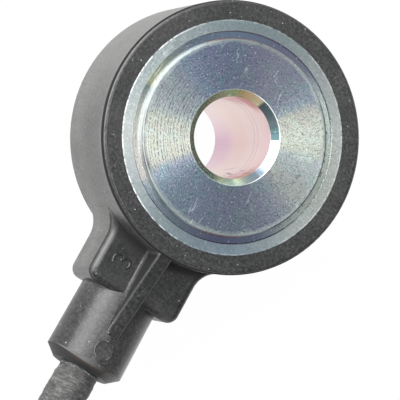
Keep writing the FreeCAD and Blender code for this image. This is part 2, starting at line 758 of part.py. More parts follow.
# Connector: a sealed two-way housing with a rear cap round the lead, a ribbed wire seal, two turned
# pins and the retainer that locks them. Its rear face is Y = 0 in its own frame, and it points along -Y.
connector_housing = new_body("connector_housing")
shell = new_sketch(connector_housing, "shell_outline", "XZ_Plane")
rounded(shell, "plug_wide - 2 * grip_deep", "plug_high", "plug_corner", "pin_level")
pad(connector_housing, "shell", shell, "plug_long")

grip = new_sketch(connector_housing, "grip_outline", "XZ_Plane", lift="grip_from")
rounded(grip, "plug_wide", "plug_high - 2 * plug_corner", "0.3", "pin_level")
grip_rib = pad(connector_housing, "grip_rib", grip, "grip_wide")
grips = connector_housing.newObject("PartDesign::LinearPattern", "grip_ribs")
grips.Originals = [grip_rib]
grips.Direction = (next(f for f in connector_housing.Origin.OriginFeatures if f.Role == "Y_Axis"), [""])
grips.Reversed = True
grips.Occurrences = 3
grips.setExpression("Length", bound("2 * grip_step"))
connector_housing.Tip = grips

catch = new_sketch(connector_housing, "catch_side", "YZ_Plane")
outline(
    catch,
    [
        ("-catch_from", "plug_high - 0.5"),
        ("-(catch_from + catch_long)", "plug_high - 0.5"),
        ("-(catch_from + catch_long)", "plug_high"),
        ("-(catch_from + catch_long * 0.2)", "plug_high + catch_high"),
        ("-catch_from", "plug_high + catch_high"),
    ],
)
pad(connector_housing, "latch_catch", catch, "catch_wide", Midplane=True)

socket = new_sketch(connector_housing, "socket_outline", "XZ_Plane", lift="plug_long")
rounded(socket, "socket_wide", "socket_high", "socket_corner", "pin_level")
pocket(connector_housing, "socket", socket, "socket_deep")
chamber = new_sketch(connector_housing, "chamber_outline", "XZ_Plane")
rounded(chamber, "seal_wide", "seal_high", "socket_corner", "pin_level")
pocket(connector_housing, "seal_chamber", chamber, "seal_deep", Reversed=True)
channels = new_sketch(connector_housing, "channel_outline", "XZ_Plane")
for side in ("-pin_pitch / 2", "pin_pitch / 2"):
    circle(channels, side, "pin_level", "shank_bore")
pocket(connector_housing, "pin_channels", channels, "plug_long - 1", Reversed=True)
slot = new_sketch(connector_housing, "key_slot_outline", "XY_Plane", lift="plug_high")
outline(
    slot,
    [
        ("-key_wide / 2 - pin_gap", "-key_from + pin_gap"),
        ("-key_wide / 2 - pin_gap", "-key_from - key_long - pin_gap"),
        ("key_wide / 2 + pin_gap", "-key_from - key_long - pin_gap"),
        ("key_wide / 2 + pin_gap", "-key_from + pin_gap"),
    ],
)
pocket(connector_housing, "key_slot", slot, "plug_high - pin_level - shank_bore / 2")

connector_cap = new_body("connector_rear_cap")
for name, lift, wide, high, corner, long, back in (
    ("cap_inner", "0", "seal_wide", "seal_high", "socket_corner", "cap_inset", False),
    ("cap_outer", "0", "plug_wide - 2 * cap_edge", "plug_high - 2 * cap_edge", "1.2", "cap_plate", True),
):
    flat = new_sketch(connector_cap, name + "_outline", "XZ_Plane", lift=lift)
    rounded(flat, wide, high, corner, "pin_level")
    pad(connector_cap, name, flat, long, Reversed=back)
collar = new_sketch(connector_cap, "collar_outline", "XZ_Plane", lift="-cap_plate")
circle(collar, "0", "pin_level", "collar_dia")
pad(connector_cap, "collar", collar, "collar_long", Reversed=True)
entry = new_sketch(connector_cap, "entry_outline", "XZ_Plane", lift="cap_inset")
circle(entry, "0", "pin_level", "cable_dia")
pocket(connector_cap, "entry", entry, "cap_inset + cap_plate + collar_long")

wire_seal = new_body("wire_seal")
waist = new_sketch(wire_seal, "waist_outline", "XZ_Plane", lift="cap_inset")
rounded(
    waist, "seal_wide - 2 * seal_waist", "seal_high - 2 * seal_waist", "socket_corner - seal_waist", "pin_level"
)
pad(wire_seal, "waist", waist, "seal_deep - cap_inset")
lip_outline = new_sketch(wire_seal, "lip_outline", "XZ_Plane", lift="cap_inset")
rounded(lip_outline, "seal_wide", "seal_high", "socket_corner", "pin_level")
lip = pad(wire_seal, "lip", lip_outline, "seal_lip")
lips = wire_seal.newObject("PartDesign::LinearPattern", "lips")
lips.Originals = [lip]
lips.Direction = (next(f for f in wire_seal.Origin.OriginFeatures if f.Role == "Y_Axis"), [""])
lips.Reversed = True
lips.Occurrences = 3
lips.setExpression("Length", bound("seal_deep - cap_inset - seal_lip"))
wire_seal.Tip = lips
passages = new_sketch(wire_seal, "passage_outline", "XZ_Plane", lift="cap_inset")
for side in ("-pin_pitch / 2", "pin_pitch / 2"):
    circle(passages, side, "pin_level", "core_dia")
pocket(wire_seal, "passages", passages, "seal_deep", Reversed=True)

pin_retainer = doc.addObject("Part::Box", "pin_retainer")
pin_retainer.setExpression("Length", bound("key_wide"))
pin_retainer.setExpression("Width", bound("key_long"))
pin_retainer.setExpression("Height", bound("plug_high - pin_level - pin_shank_dia / 2 - pin_gap"))
pin_retainer.Label = "pin_retainer"

CONNECTOR = [connector_housing, connector_cap, wire_seal]
for label, side in (("signal_pin", "pin_pitch / 2"), ("return_pin", "-pin_pitch / 2")):
    pin = new_body(label)
    half = new_sketch(pin, label + "_profile", "YZ_Plane", lift=side, shift=("0", "pin_level"))
    outline(
        half,
        [
            ("-(seal_deep + crimp_deep)", "0"),
            ("-(socket_floor + pin_reach)", "0"),
            ("-(socket_floor + pin_reach)", "pin_dia / 4"),
            ("-(socket_floor + pin_reach - pin_dia / 3)", "pin_dia / 2"),
            ("-socket_floor", "pin_dia / 2"),
            ("-socket_floor", "pin_shank_dia / 2"),
            ("-seal_deep", "pin_shank_dia / 2"),
            ("-seal_deep", "wire_dia / 2"),
            ("-(seal_deep + crimp_deep)", "wire_dia / 2"),
        ],
    )
    revolve(pin, label + "_turned", half, "H_Axis")
    CONNECTOR.append(pin)
for label, side in (("signal_core_end", "pin_pitch / 2"), ("return_core_end", "-pin_pitch / 2")):
    insulation = rod(label + "_insulation", "core_dia", "cap_inset", "seal_deep - cap_inset", side, "pin_level")
    strands = rod(label + "_strands", "wire_dia", "seal_deep", "crimp_deep", side, "pin_level")
    CONNECTOR.append(joined(label, [insulation, strands]))

doc.recompute()
connector_at = V(route[-1].x, route[-1].y + value("cap_inset"), 0)
for part in CONNECTOR:
    part.Placement = FreeCAD.Placement(connector_at, FreeCAD.Rotation())
pin_retainer.Placement = FreeCAD.Placement(
    connector_at
    + V(
        -value("key_wide") / 2,
        -value("key_from + key_long"),
        value("pin_level + pin_shank_dia / 2 + pin_gap"),
    ),
    FreeCAD.Rotation(),
)
doc.recompute()

NODES = """housing sleeve insulating_tube flange_insulator flange_contact piezo_ring mass_contact
    mass_insulator seismic_mass disc_spring clamp_nut bleed_resistor signal_core return_core cable
    connector_housing connector_rear_cap wire_seal pin_retainer signal_pin return_pin signal_core_end
    return_core_end""".split()

for thing in doc.Objects:
    if {"Invalid", "Error"} & set(thing.State):
        raise RuntimeError(f"{thing.Name} failed: {thing.State}")
os.makedirs("parts", exist_ok=True)
for name in NODES:
    shape = doc.getObjectsByLabel(name)[0].Shape
    if shape.isNull() or not shape.isValid() or len(shape.Solids) != 1:
        raise RuntimeError(name + " isn't one valid solid")
for name in NODES:
    shape = doc.getObjectsByLabel(name)[0].Shape
    shape.exportStep(f"parts/{name}.step")
    print(f"{name}: {shape.Volume:.1f} mm3")
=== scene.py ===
import math

import bmesh
import bpy
from mathutils import Matrix, Vector, noise


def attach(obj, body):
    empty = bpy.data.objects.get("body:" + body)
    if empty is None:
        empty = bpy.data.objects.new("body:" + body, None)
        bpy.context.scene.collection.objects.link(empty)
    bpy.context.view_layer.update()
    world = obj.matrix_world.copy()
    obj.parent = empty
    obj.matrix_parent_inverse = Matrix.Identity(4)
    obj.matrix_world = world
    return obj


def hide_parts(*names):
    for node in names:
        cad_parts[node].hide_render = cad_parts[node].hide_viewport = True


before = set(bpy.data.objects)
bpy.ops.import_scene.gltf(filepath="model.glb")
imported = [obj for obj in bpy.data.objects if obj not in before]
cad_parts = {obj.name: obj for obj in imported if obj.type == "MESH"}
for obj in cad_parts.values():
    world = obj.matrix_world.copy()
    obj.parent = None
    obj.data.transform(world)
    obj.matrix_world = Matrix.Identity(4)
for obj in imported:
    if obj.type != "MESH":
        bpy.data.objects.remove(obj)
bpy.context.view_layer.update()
MM = 0.001

# Levels and radii of the CAD model that the finishes follow, in millimetres.
FACE = 16.2
DISC_RADIUS = 14.1
LAND_OUT, BAND_OUT, PAD_OUT, MOUTH_OUT = 12.05, 10.93, 10.15, 4.94
MOUTH_BASE = 15.95
BORE_RADIUS = 4.2
# The shoulder block, rib and tail point to -Y: their sizes, and how far from the bore's axis they end.
BLOCK_SIDE, BLOCK_END, BLOCK_TOP = 5.5, 19.4, 12.48
RIB_SIDE = 1.4
TAIL_START, TAIL_END, TAIL_LEVEL = 19.0, 27.6, 8.4
BEVEL_RUN = 0.95
MARK_AT, MARK_WIDE = (0.0, -25.17, 0.0), 1.95
# The camera's turn about the bore's axis, in degrees.
PICTURE_TURN = 30.4


# Moulded housing: one shot of black glass-filled nylon round the clamped stack, in a spark-eroded
# tool. The faces carry the tool's fine grain, with a few glints of glass fibre near the surface.
def colour(text):
    """'#rrggbb' as seen on the screen, turned into Blender's linear colour."""
    parts = [int(text[i : i + 2], 16) / 255 for i in (1, 3, 5)]
    return tuple(p / 12.92 if p <= 0.04045 else ((p + 0.055) / 1.055) ** 2.4 for p in parts) + (1.0,)


class Nodes:
    """A node tree and its last node: a material's shader, or a group's output."""

    def __init__(self, tree, end):
        self.tree = tree
        self.end = end

    def plug(self, socket, value):
        """Links a socket to another node's output, or sets its value."""
        if isinstance(value, bpy.types.NodeSocket):
            self.tree.links.new(value, socket)
        else:
            socket.default_value = value

    def put(self, kind, inputs=(), **settings):
        """Adds a node. inputs is pairs of a socket's name or number and its value or source."""
        node = self.tree.nodes.new(kind)
        for name, setting in settings.items():
            setattr(node, name, setting)
        for name, value in inputs:
            self.plug(node.inputs[name], value)
        return node

    def finish(self, **sockets):
        """Links or sets the last node's sockets."""
        for label, value in sockets.items():
            self.plug(self.end.inputs[label.replace("_", " ")], value)

    def use(self, name, **inputs):
        """Places a node group, with its own values."""
        node = self.put("ShaderNodeGroup", node_tree=bpy.data.node_groups[name])
        for label, value in inputs.items():
            self.plug(node.inputs[label.capitalize()], value)
        return node.outputs

    def sums(self, operation, *values, clamp=False):
        return self.put("ShaderNodeMath", enumerate(values), operation=operation, use_clamp=clamp).outputs[0]

    def both(self, *masks):
        """The product of masks: full only where all of them are."""
        product = masks[0]
        for mask in masks[1:]:
            product = self.sums("MULTIPLY", product, mask)
        return product

    def most(self, *masks):
        """The strongest of masks at each place."""
        strongest = masks[0]
        for mask in masks[1:]:
            strongest = self.sums("MAXIMUM", strongest, mask)
        return strongest

    def without(self, mask):
        return self.sums("SUBTRACT", 1.0, mask)

    def more(self, value, gain, start):
        """start, and gain times value on top."""
        return self.sums("MULTIPLY_ADD", value, gain, start)

    def step(self, value, low, high):
        """0 below low, 1 above high, a straight rise between. With high under low it falls instead."""
        return self.put("ShaderNodeMapRange", [(0, value), (1, low), (2, high)], clamp=True).outputs[0]

    def step_mm(self, value, low, high):
        """A step of a value in metres, with its limits in millimetres."""
        return self.step(value, low * MM, high * MM)

    def between(self, value, low, high, edge=0.03):
        """1 from low to high and 0 outside, with soft edges."""
        rise = self.step(value, low - edge, low + edge)
        fall = self.step(value, high + edge, high - edge)
        return self.both(rise, fall)

    def between_mm(self, value, low, high, edge):
        return self.between(value, low * MM, high * MM, edge * MM)

    def blend(self, share, first, second):
        return self.put("ShaderNodeMix", [(0, share), (6, first), (7, second)], data_type="RGBA").outputs[2]

    def tint(self, shade, share, text):
        """Mixes a share of a colour over a shade."""
        return self.blend(share, shade, colour(text))

    def ramp(self, value, stops, smooth=True):
        """stops is pairs of a position and a colour."""
        node = self.put("ShaderNodeValToRGB", [(0, value)])
        band = node.color_ramp
        band.interpolation = "EASE" if smooth else "LINEAR"
        while len(band.elements) < len(stops):
            band.elements.new(0.5)
        for element, (position, shade) in zip(band.elements, sorted(stops, key=lambda s: s[0])):
            element.position = position
            element.color = shade
        return node.outputs[0]

    def shades(self, value, *stops):
        """A ramp with straight stretches. stops is pairs of a position and a colour's text."""
        return self.ramp(value, [(at, colour(text)) for at, text in stops], smooth=False)

    def clouded(self, clouds, dark, light):
        """Soft clouds of two near shades."""
        return self.ramp(clouds, [(0.3, colour(dark)), (0.7, colour(light))])

    def waves(self, place, scale, detail, roughness=0.5, distortion=0.0):
        """Noise with so many waves to the unit of place, from 0 to 1 about 0.5."""
        inputs = [("Vector", place), ("Scale", scale), ("Detail", detail)]
        inputs += [("Roughness", roughness), ("Distortion", distortion)]
        return self.put("ShaderNodeTexNoise", inputs).outputs[0]

    def grain(self, place, per_mm, detail=2.0, roughness=0.5, distortion=0.0):
        """Noise with so many waves to the millimetre of a place in metres."""
        return self.waves(place, per_mm / MM, detail, roughness, distortion)

    def cells(self, place, per_mm):
        """A Voronoi node with so many cells to the millimetre."""
        return self.put("ShaderNodeTexVoronoi", [("Vector", place), ("Scale", per_mm / MM)], feature="F1")

    def laid(self, place, turn, scale):
        """A place turned about Z and stretched, for marks that run one way."""
        inputs = [("Vector", place), ("Rotation", (0, 0, turn)), ("Scale", scale)]
        return self.put("ShaderNodeMapping", inputs).outputs[0]

    def bump(self, height, depth, strength=1.0, normal=None):
        """A Bump node for a height from 0 to 1 that stands for a depth in millimetres."""
        inputs = [("Strength", strength), ("Distance", depth * MM), ("Height", height)]
        if normal is not None:
            inputs.append(("Normal", normal))
        return self.put("ShaderNodeBump", inputs).outputs[0]

    def vector(self, operation, *vectors):
        return self.put("ShaderNodeVectorMath", enumerate(vectors), operation=operation).outputs[0]

    def scaled(self, vector, scale):
        inputs = [(0, vector), ("Scale", scale)]
        return self.put("ShaderNodeVectorMath", inputs, operation="SCALE").outputs[0]

    def length(self, vector):
        return self.put("ShaderNodeVectorMath", [(0, vector)], operation="LENGTH").outputs["Value"]

    def dot(self, vector, way):
        inputs = [(0, vector), (1, way)]
        return self.put("ShaderNodeVectorMath", inputs, operation="DOT_PRODUCT").outputs["Value"]

    def parts(self, vector):
        return self.put("ShaderNodeSeparateXYZ", [(0, vector)]).outputs

    def joined(self, *parts):
        """A vector from pairs of an axis' number and its value."""
        return self.put("ShaderNodeCombineXYZ", parts).outputs[0]


def group(name, inputs, outputs):
    """An empty node group: its nodes, and its inputs' sockets. All of its outputs are plain values."""
    tree = bpy.data.node_groups.new(name, "ShaderNodeTree")
    for label, kind, start in inputs:
        socket = tree.interface.new_socket(label, in_out="INPUT", socket_type=kind)
        if start is not None:
            socket.default_value = start
    for label in outputs:
        tree.interface.new_socket(label, in_out="OUTPUT", socket_type="NodeSocketFloat")
    given = tree.nodes.new("NodeGroupInput").outputs
    return Nodes(tree, tree.nodes.new("NodeGroupOutput")), given


FINISHES = {}


def material(name):
    """A new finish: its nodes, which end in a Principled shader, and the place on the part in metres."""
    new = bpy.data.materials.new(name + "_finish")
    FINISHES[name] = new
    new.use_nodes = True
    tree = new.node_tree
    place = tree.nodes.new("ShaderNodeTexCoord").outputs["Object"]
    return Nodes(tree, tree.nodes["Principled BSDF"]), place


def wear(mesh, finish_name):
    mesh.materials.clear()
    mesh.materials.append(FINISHES[finish_name])


def dress(pieces):
    """Gives CAD nodes their finishes."""
    for node, finish_name in pieces.items():
        wear(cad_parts[node].data, finish_name)


# Spark-eroded texture, shared by all moulded pieces.
eroded, given = group(
    "eroded_grain",
    [("Place", "NodeSocketVector", None), ("Fineness", "NodeSocketFloat", 1.0)],
    ["Height", "Specks", "Glints", "Clouds"],
)
scaled = eroded.scaled(given["Place"], given["Fineness"])
fine = eroded.grain(scaled, 5.5, 3.0, 0.65)
pits = eroded.cells(scaled, 7.5).outputs[0]
spark = eroded.cells(scaled, 2.4)
rare, much, _ = eroded.put("ShaderNodeSeparateColor", [(0, spark.outputs["Color"])]).outputs
glints = eroded.both(eroded.step(spark.outputs[0], 0.2, 0.06), eroded.step(rare, 0.66, 0.74))
eroded.finish(
    Height=eroded.sums("ADD", eroded.both(fine, 0.7), eroded.both(pits, 0.35)),
    Specks=eroded.step(eroded.grain(scaled, 3.4, 3.0, 0.8), 0.42, 0.7),
    Glints=eroded.both(glints, eroded.sums("POWER", much, 2.0)),
    Clouds=eroded.grain(scaled, 0.35, 4.0, 0.6),
)

# The flat faces carry more of the fibre's pale specks than the wall, which the tool's draft polishes.
# Places are in metres in this material, so its masks are made by step_mm and between_mm.
paint, place = material("black_moulding")
texture = paint.use("eroded_grain", place=place, fineness=1.0)
out_x, out_y, level = paint.parts(place)
upward = paint.parts(place.node.outputs["Normal"])[2]
from_axis = paint.length(paint.vector("MULTIPLY", place, (1.0, 1.0, 0.0)))
on_face = paint.step_mm(level, FACE - 0.08, FACE - 0.02)
facing_up = paint.step(upward, 0.5, 0.8)

# The wall is paler towards both of its edges, and painted lighter on the side away from the lead, which
# faces the lamps, as painted light.
base = paint.clouded(texture["Clouds"], "#272726", "#383836")
ends = paint.most(paint.step_mm(level, FACE - 5.2, FACE - 8.4), paint.step_mm(level, FACE - 1.7, FACE - 0.8))
ends = paint.both(ends, paint.step(texture["Clouds"], 0.25, 0.6))
base = paint.tint(base, paint.both(ends, 0.8), "#4c4c4a")
lamp_side = paint.both(paint.step_mm(out_y, -5.0, 1.5), paint.step_mm(out_x, 2.0, -6.0), 0.5)
base = paint.tint(base, lamp_side, "#5c5c5a")

# The block's top and the other faces that point up are painted nearly black, darker than the walls, as
# painted shade. The disc's face is greyer, and darkens towards the lead.
shaded_top = paint.clouded(texture["Clouds"], "#070808", "#0e0f10")
base = paint.blend(facing_up, base, shaded_top)
disc_face = paint.clouded(texture["Clouds"], "#1c1d1d", "#2b2b2a")
near_lead = paint.step(paint.dot(place, (0.2147 / MM, -0.9767 / MM, 0.0)), 1.5, 9.5)
disc_face = paint.tint(disc_face, paint.both(near_lead, 0.85), "#0b0c0d")
base = paint.blend(on_face, base, disc_face)

# The tail is rubbed smooth. It is painted darker than the wall, as painted shade, and greyer on its right,
# as a painted reflection of the white table.
tail = paint.step_mm(from_axis, TAIL_START, TAIL_START + 2)
shaded_tail = paint.clouded(texture["Clouds"], "#0b0b0b", "#171716")
reflected_right = paint.clouded(texture["Clouds"], "#1c1c1b", "#2c2c2a")
shaded_tail = paint.blend(paint.step_mm(out_x, -2.5, 4.0), shaded_tail, reflected_right)
base = paint.blend(tail, base, shaded_tail)

# Dust and glints of fibre lie everywhere, in patches, and thickest on the wall.
patches = paint.grain(place, 0.22, 3.0, 0.6, 0.6)
dust = paint.more(paint.step(patches, 0.35, 0.75), 0.12, 0.06)
dust = paint.more(paint.both(paint.without(facing_up), paint.without(tail)), 0.12, dust)
dust = paint.more(paint.most(on_face, tail), 0.05, dust)
base = paint.tint(base, paint.both(texture["Specks"], dust), "#9c9d9c")
base = paint.tint(base, paint.both(texture["Glints"], 0.7), "#e3e4e2")

# Where the tool's halves met, the disc's front edge is painted with a thin dark line, as painted shade, and
# a painted highlight above it.
edge_zone = paint.both(
    paint.step_mm(from_axis, DISC_RADIUS - 1.1, DISC_RADIUS - 0.9),
    paint.step_mm(level, FACE - 0.7, FACE - 0.6),
)
parting_shade = paint.both(paint.step(upward, 0.72, 0.64), edge_zone)
base = paint.tint(base, parting_shade, "#040404")
base = paint.tint(base, paint.both(paint.between(upward, 0.76, 0.88, 0.05), edge_zone, 0.45), "#575755")

# The tail's end bevel is dull, and painted dark as painted shade, with a thin brown line of flash where it
# starts.
from_end = paint.more(out_y, 1 / MM, TAIL_END)

# The painted shade starts further down in the middle of the bevel.
sideways = paint.both(out_x, out_x, 1 / (4.0 * MM) ** 2)
shade_start = paint.more(paint.sums("MINIMUM", sideways, 1.0), BEVEL_RUN - 0.5, 0.5)
past = paint.sums("SUBTRACT", from_end, shade_start)
bevel = paint.both(paint.step(past, 0.03, -0.03), paint.step_mm(from_axis, TAIL_START + 1, TAIL_START + 2))
base = paint.tint(base, paint.both(bevel, 0.85), "#0a0a09")
# Above the painted shade, the bevel's left part is painted paler, as painted light, like the lit tail beside
# it.
lit_bevel = paint.both(
    paint.step(past, -0.03, 0.03), paint.step(from_end, BEVEL_RUN + 0.03, BEVEL_RUN - 0.03), tail
)
lit_bevel = paint.both(lit_bevel, paint.step_mm(out_x, 1.4, -1.4), 0.85)
base = paint.tint(base, lit_bevel, "#6e6e6c")
brown = paint.both(paint.between(past, -0.2, 0.02, 0.06), paint.step(sideways, 0.7, 0.2), tail, 0.4)
base = paint.tint(base, brown, "#4c3a2e")
# The bevel's right part is painted paler, as a painted reflection of the white table.
base = paint.tint(base, paint.both(bevel, paint.step_mm(out_x, 1.2, 3.6), 0.8), "#858582")

# Gusset rib: its flanks are painted dark above their feet, as painted shade, and its right shoulder carries
# a painted highlight.
by_rib = paint.both(
    paint.between_mm(out_x, -RIB_SIDE, RIB_SIDE, 0.02),
    paint.step_mm(from_axis, DISC_RADIUS + 0.1, DISC_RADIUS + 0.3),
    paint.step_mm(out_y, 0.1 - DISC_RADIUS, -DISC_RADIUS),
    paint.step_mm(out_y, 3.8 - TAIL_END, 4.4 - TAIL_END),
)
shaded_flank = paint.both(
    by_rib,
    paint.step(upward, 0.93, 0.83),
    paint.step_mm(level, BLOCK_TOP + 0.42, BLOCK_TOP + 0.72),
)
base = paint.tint(base, shaded_flank, "#151515")
shoulder = paint.both(by_rib, paint.step_mm(out_x, 0.6, 0.66), paint.step_mm(out_x, 0.86, 0.8), 0.8)
base = paint.tint(base, shoulder, "#484848")

# The left upper edge of the block carries a painted highlight, in a straight strip that runs on to the disc.
strip = paint.both(
    paint.between_mm(out_x, 0.2 - BLOCK_SIDE, 0.6 - BLOCK_SIDE, 0.04),
    paint.between_mm(out_y, -18.2, -13.1, 0.15),
    paint.step_mm(level, BLOCK_TOP - 0.48, BLOCK_TOP - 0.33),
    paint.step_mm(level, BLOCK_TOP + 0.22, BLOCK_TOP + 0.12),
)
base = paint.tint(base, strip, "#424241")

# A dark line of painted shade runs round the block under that edge, and the far end of the block's top is
# dull.
crease = paint.both(
    paint.between(upward, 0.12, 0.45, 0.06),
    paint.between_mm(level, BLOCK_TOP - 0.83, BLOCK_TOP - 0.18, 0.02),
    paint.step_mm(out_y, -12.5, -12.8),
    paint.step_mm(out_y, -BLOCK_END - 0.4, -BLOCK_END - 0.2),
)
base = paint.tint(base, paint.both(crease, 0.9), "#050505")
shaded_end = paint.both(
    paint.step_mm(out_y, 2.0 - BLOCK_END, 0.6 - BLOCK_END),
    paint.between_mm(level, BLOCK_TOP - 0.13, BLOCK_TOP + 0.07, 0.04),
)

# The corner between the disc and the block is painted black, as painted shadow.
corner = paint.both(
    paint.step_mm(from_axis, DISC_RADIUS + 1.3, DISC_RADIUS + 0.3),
    paint.step_mm(level, BLOCK_TOP + 1.12, BLOCK_TOP + 0.72),
    facing_up,
)
base = paint.tint(base, paint.both(corner, 0.9), "#020202")

# The tail's right edge turns down to the white table, and is painted pale there, as a painted reflection of
# the table.
turning = paint.both(tail, paint.step_mm(out_x, 2.7, 4.0))
base = paint.tint(base, paint.both(turning, turning), "#adada9")

# Witness mark on the tail: the ejector's outline, with a painted highlight on its rim, strongest on its two
# sides, and a painted dark ring of shade just outside it.
to_mark = paint.vector("SUBTRACT", place, tuple(c * MM for c in MARK_AT))
to_mark = paint.vector("MULTIPLY", to_mark, (1.0, 1.0, 0.0))
from_mark = paint.length(to_mark)
mark_top = paint.step_mm(level, 11.5, 11.6)
rim_highlight = paint.both(paint.between_mm(from_mark, 0.495 * MARK_WIDE, 0.52 * MARK_WIDE, 0.015), mark_top)
lean = paint.dot(paint.vector("NORMALIZE", to_mark), (0.99, 0.13, 0.0))
lean = paint.more(paint.step(paint.sums("ABSOLUTE", lean), 0.45, 0.8), 0.8, 0.2)
rim_highlight = paint.both(rim_highlight, lean, paint.step(paint.grain(place, 1.3, 3.0, 0.7), 0.44, 0.56))
sunk = paint.both(paint.between_mm(from_mark, 0.55 * MARK_WIDE, 0.6 * MARK_WIDE, 0.02), mark_top, 0.5)
base = paint.tint(base, sunk, "#060606")
base = paint.tint(base, rim_highlight, "#7e7e7c")

# What is rubbed or moulded against polished steel shines more, and flash and dark corners are dull.
rough = paint.more(texture["Clouds"], 0.12, 0.31)
rough = paint.more(paint.both(facing_up, paint.without(tail)), -0.07, rough)
rough = paint.more(tail, -0.04, rough)
dull = paint.most(paint.both(paint.most(bevel, shaded_end, crease), 0.4), parting_shade)
dull = paint.most(dull, paint.both(shaded_flank, 0.35), paint.both(corner, 0.7))
rough = paint.more(dull, 0.6, rough)
paint.finish(
    Base_Color=base,
    Roughness=rough,
    Normal=paint.bump(texture["Height"], 0.02, 0.7),
    IOR=1.6,
)
dress({"housing": "black_moulding"})


# Cavity number: a raised 3 on the shoulder block, cut by hand into the tool. It is a round stroke that
# follows two bowls, half sunk into the block's top.
NUMERAL_AT = (-2.95, -16.35, 12.45)
STROKE_ROUND = 0.15
BOWL_STEPS = 32
glyph = bpy.data.curves.new("cavity_numeral", "CURVE")
glyph.dimensions = "3D"
glyph.bevel_depth = STROKE_ROUND * MM
glyph.bevel_resolution = 4
glyph.use_fill_caps = True

# Each row holds a bowl's middle above the numeral's centre, its radius, and the angles of its ends.
for middle, bowl_radius, first, last in ((0.47, 0.44, 150, -90), (-0.49, 0.52, 90, -150)):
    stroke = glyph.splines.new("POLY")
    stroke.points.add(BOWL_STEPS)
    for k, point in enumerate(stroke.points):
        turn = math.radians(first + (last - first) * k / BOWL_STEPS)
        spot = Vector((bowl_radius * math.cos(turn), middle + bowl_radius * math.sin(turn), 0))
        point.co = (*(spot * MM), 1.0)
drawn = bpy.data.objects.new("cavity_numeral_line", glyph)
numeral = bpy.data.objects.new("cavity_numeral", bpy.data.meshes.new_from_object(drawn))
bpy.data.objects.remove(drawn)
bpy.context.collection.objects.link(numeral)
numeral.data.transform(
    Matrix.Translation(Vector(NUMERAL_AT) * MM) @ Matrix.Rotation(math.radians(90), 4, "Z")
)
for polygon in numeral.data.polygons:
    polygon.use_smooth = True
wear(numeral.data, "black_moulding")
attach(numeral, "root")


# Steel sleeve: turned from bar, zinc plated, then passivated, which leaves a thin clear film that
# shows blue, green, purple and straw as its thickness changes. The pad carries the lathe's rings.
turned, given = group(
    "turned_rings",
    [("Place", "NodeSocketVector", None), ("Pitch", "NodeSocketFloat", 0.2)],
    ["Radius", "Clock", "Level", "Rings", "Scratches", "Specks", "Clouds"],
)
spot = given["Place"]
east, north, up = turned.parts(spot)
flat_spot = turned.joined((0, east), (1, north))
radius_mm = turned.sums("DIVIDE", turned.length(flat_spot), MM)
level_mm = turned.sums("DIVIDE", up, MM)

# The clock runs from 0 to 1, clockwise from above, and starts at the far side in the usual view.
CLOCK_START = math.radians(90 + PICTURE_TURN + 360)
angle = turned.sums("ARCTAN2", north, east)
hours = turned.sums("DIVIDE", turned.sums("SUBTRACT", CLOCK_START, angle), math.tau)

# Rings are nearly true circles: their spacing drifts with the radius, and slowly with the direction.
slow = turned.scaled(turned.vector("NORMALIZE", flat_spot), 0.8)
along = turned.vector("ADD", slow, turned.joined((2, radius_mm)))
drift = turned.waves(along, 1.0, 2.0)
turns = turned.sums("DIVIDE", turned.sums("ADD", radius_mm, level_mm), given["Pitch"])
wave = turned.sums("SINE", turned.both(turned.more(drift, 2.6, turns), math.tau))

# Scratches run three ways: the turn of each, in radians, and its waves to the millimetre.
strokes = []
for turn, per_mm in ((0.7, 2.6), (2.2, 2.0), (1.5, 3.2)):
    drawn_out = turned.laid(spot, turn, (1.0, 0.16, 1.0))
    strokes.append(turned.step(turned.grain(drawn_out, per_mm, 2.0, 0.6, 1.0), 0.66, 0.74))
dots = turned.cells(spot, 4.6)
chosen, size, _ = turned.put("ShaderNodeSeparateColor", [(0, dots.outputs["Color"])]).outputs
dot = turned.step(turned.sums("DIVIDE", dots.outputs[0], turned.more(size, 0.7, 0.4)), 0.28, 0.12)
turned.finish(
    Radius=radius_mm,
    Clock=turned.sums("FRACT", hours),
    Level=level_mm,
    Rings=turned.more(wave, 0.5, 0.5),
    Scratches=turned.most(*strokes),
    Specks=turned.both(dot, turned.step(chosen, 0.6, 0.75)),
    Clouds=turned.grain(spot, 0.4, 4.0, 0.65, 0.5),
)

GAIN_LIMIT = 1.5


def gained(paint, value, shade, *stops):
    """Makes a shade stronger or weaker along value: stops is pairs of a position and three factors."""
    gains = [(at, (*(v / GAIN_LIMIT for v in gain), 1.0)) for at, gain in stops]
    return paint.scaled(paint.vector("MULTIPLY", paint.ramp(value, gains, smooth=False), shade), GAIN_LIMIT)


# The group gives the radius and the level in millimetres, and every place on the sleeve is told from
# them and the clock.
paint, place = material("passivated_steel")
nose = paint.parts(place.node.outputs["Normal"])[2]
lathe = paint.use("turned_rings", place=place, pitch=0.3)
radius, clock, level, clouds = (lathe[n] for n in ("Radius", "Clock", "Level", "Clouds"))
grit = paint.grain(place, 5.2, 2.0, 0.75)
coarse_grit = paint.grain(place, 2.4, 3.0, 0.7, 0.8)
in_pad = paint.between(radius, MOUTH_OUT, PAD_OUT)
in_mouth = paint.both(
    paint.between(radius, BORE_RADIUS - 0.03, MOUTH_OUT),
    paint.step(level, MOUTH_BASE - 0.02, MOUTH_BASE + 0.02),
)
in_bore = paint.both(
    paint.step(radius, BORE_RADIUS + 0.06, BORE_RADIUS + 0.02),
    paint.step(level, MOUTH_BASE + 0.02, MOUTH_BASE - 0.02),
)
in_band = paint.between(radius, PAD_OUT, BAND_OUT)
on_land = paint.step(radius, BAND_OUT, BAND_OUT + 0.05)

# Two fans, left and right, where the rings throw the light back: painted straw and rose instead of blue, as
# painted reflection.
wavering = paint.more(paint.sums("SUBTRACT", clouds, 0.5), 0.03, clock)

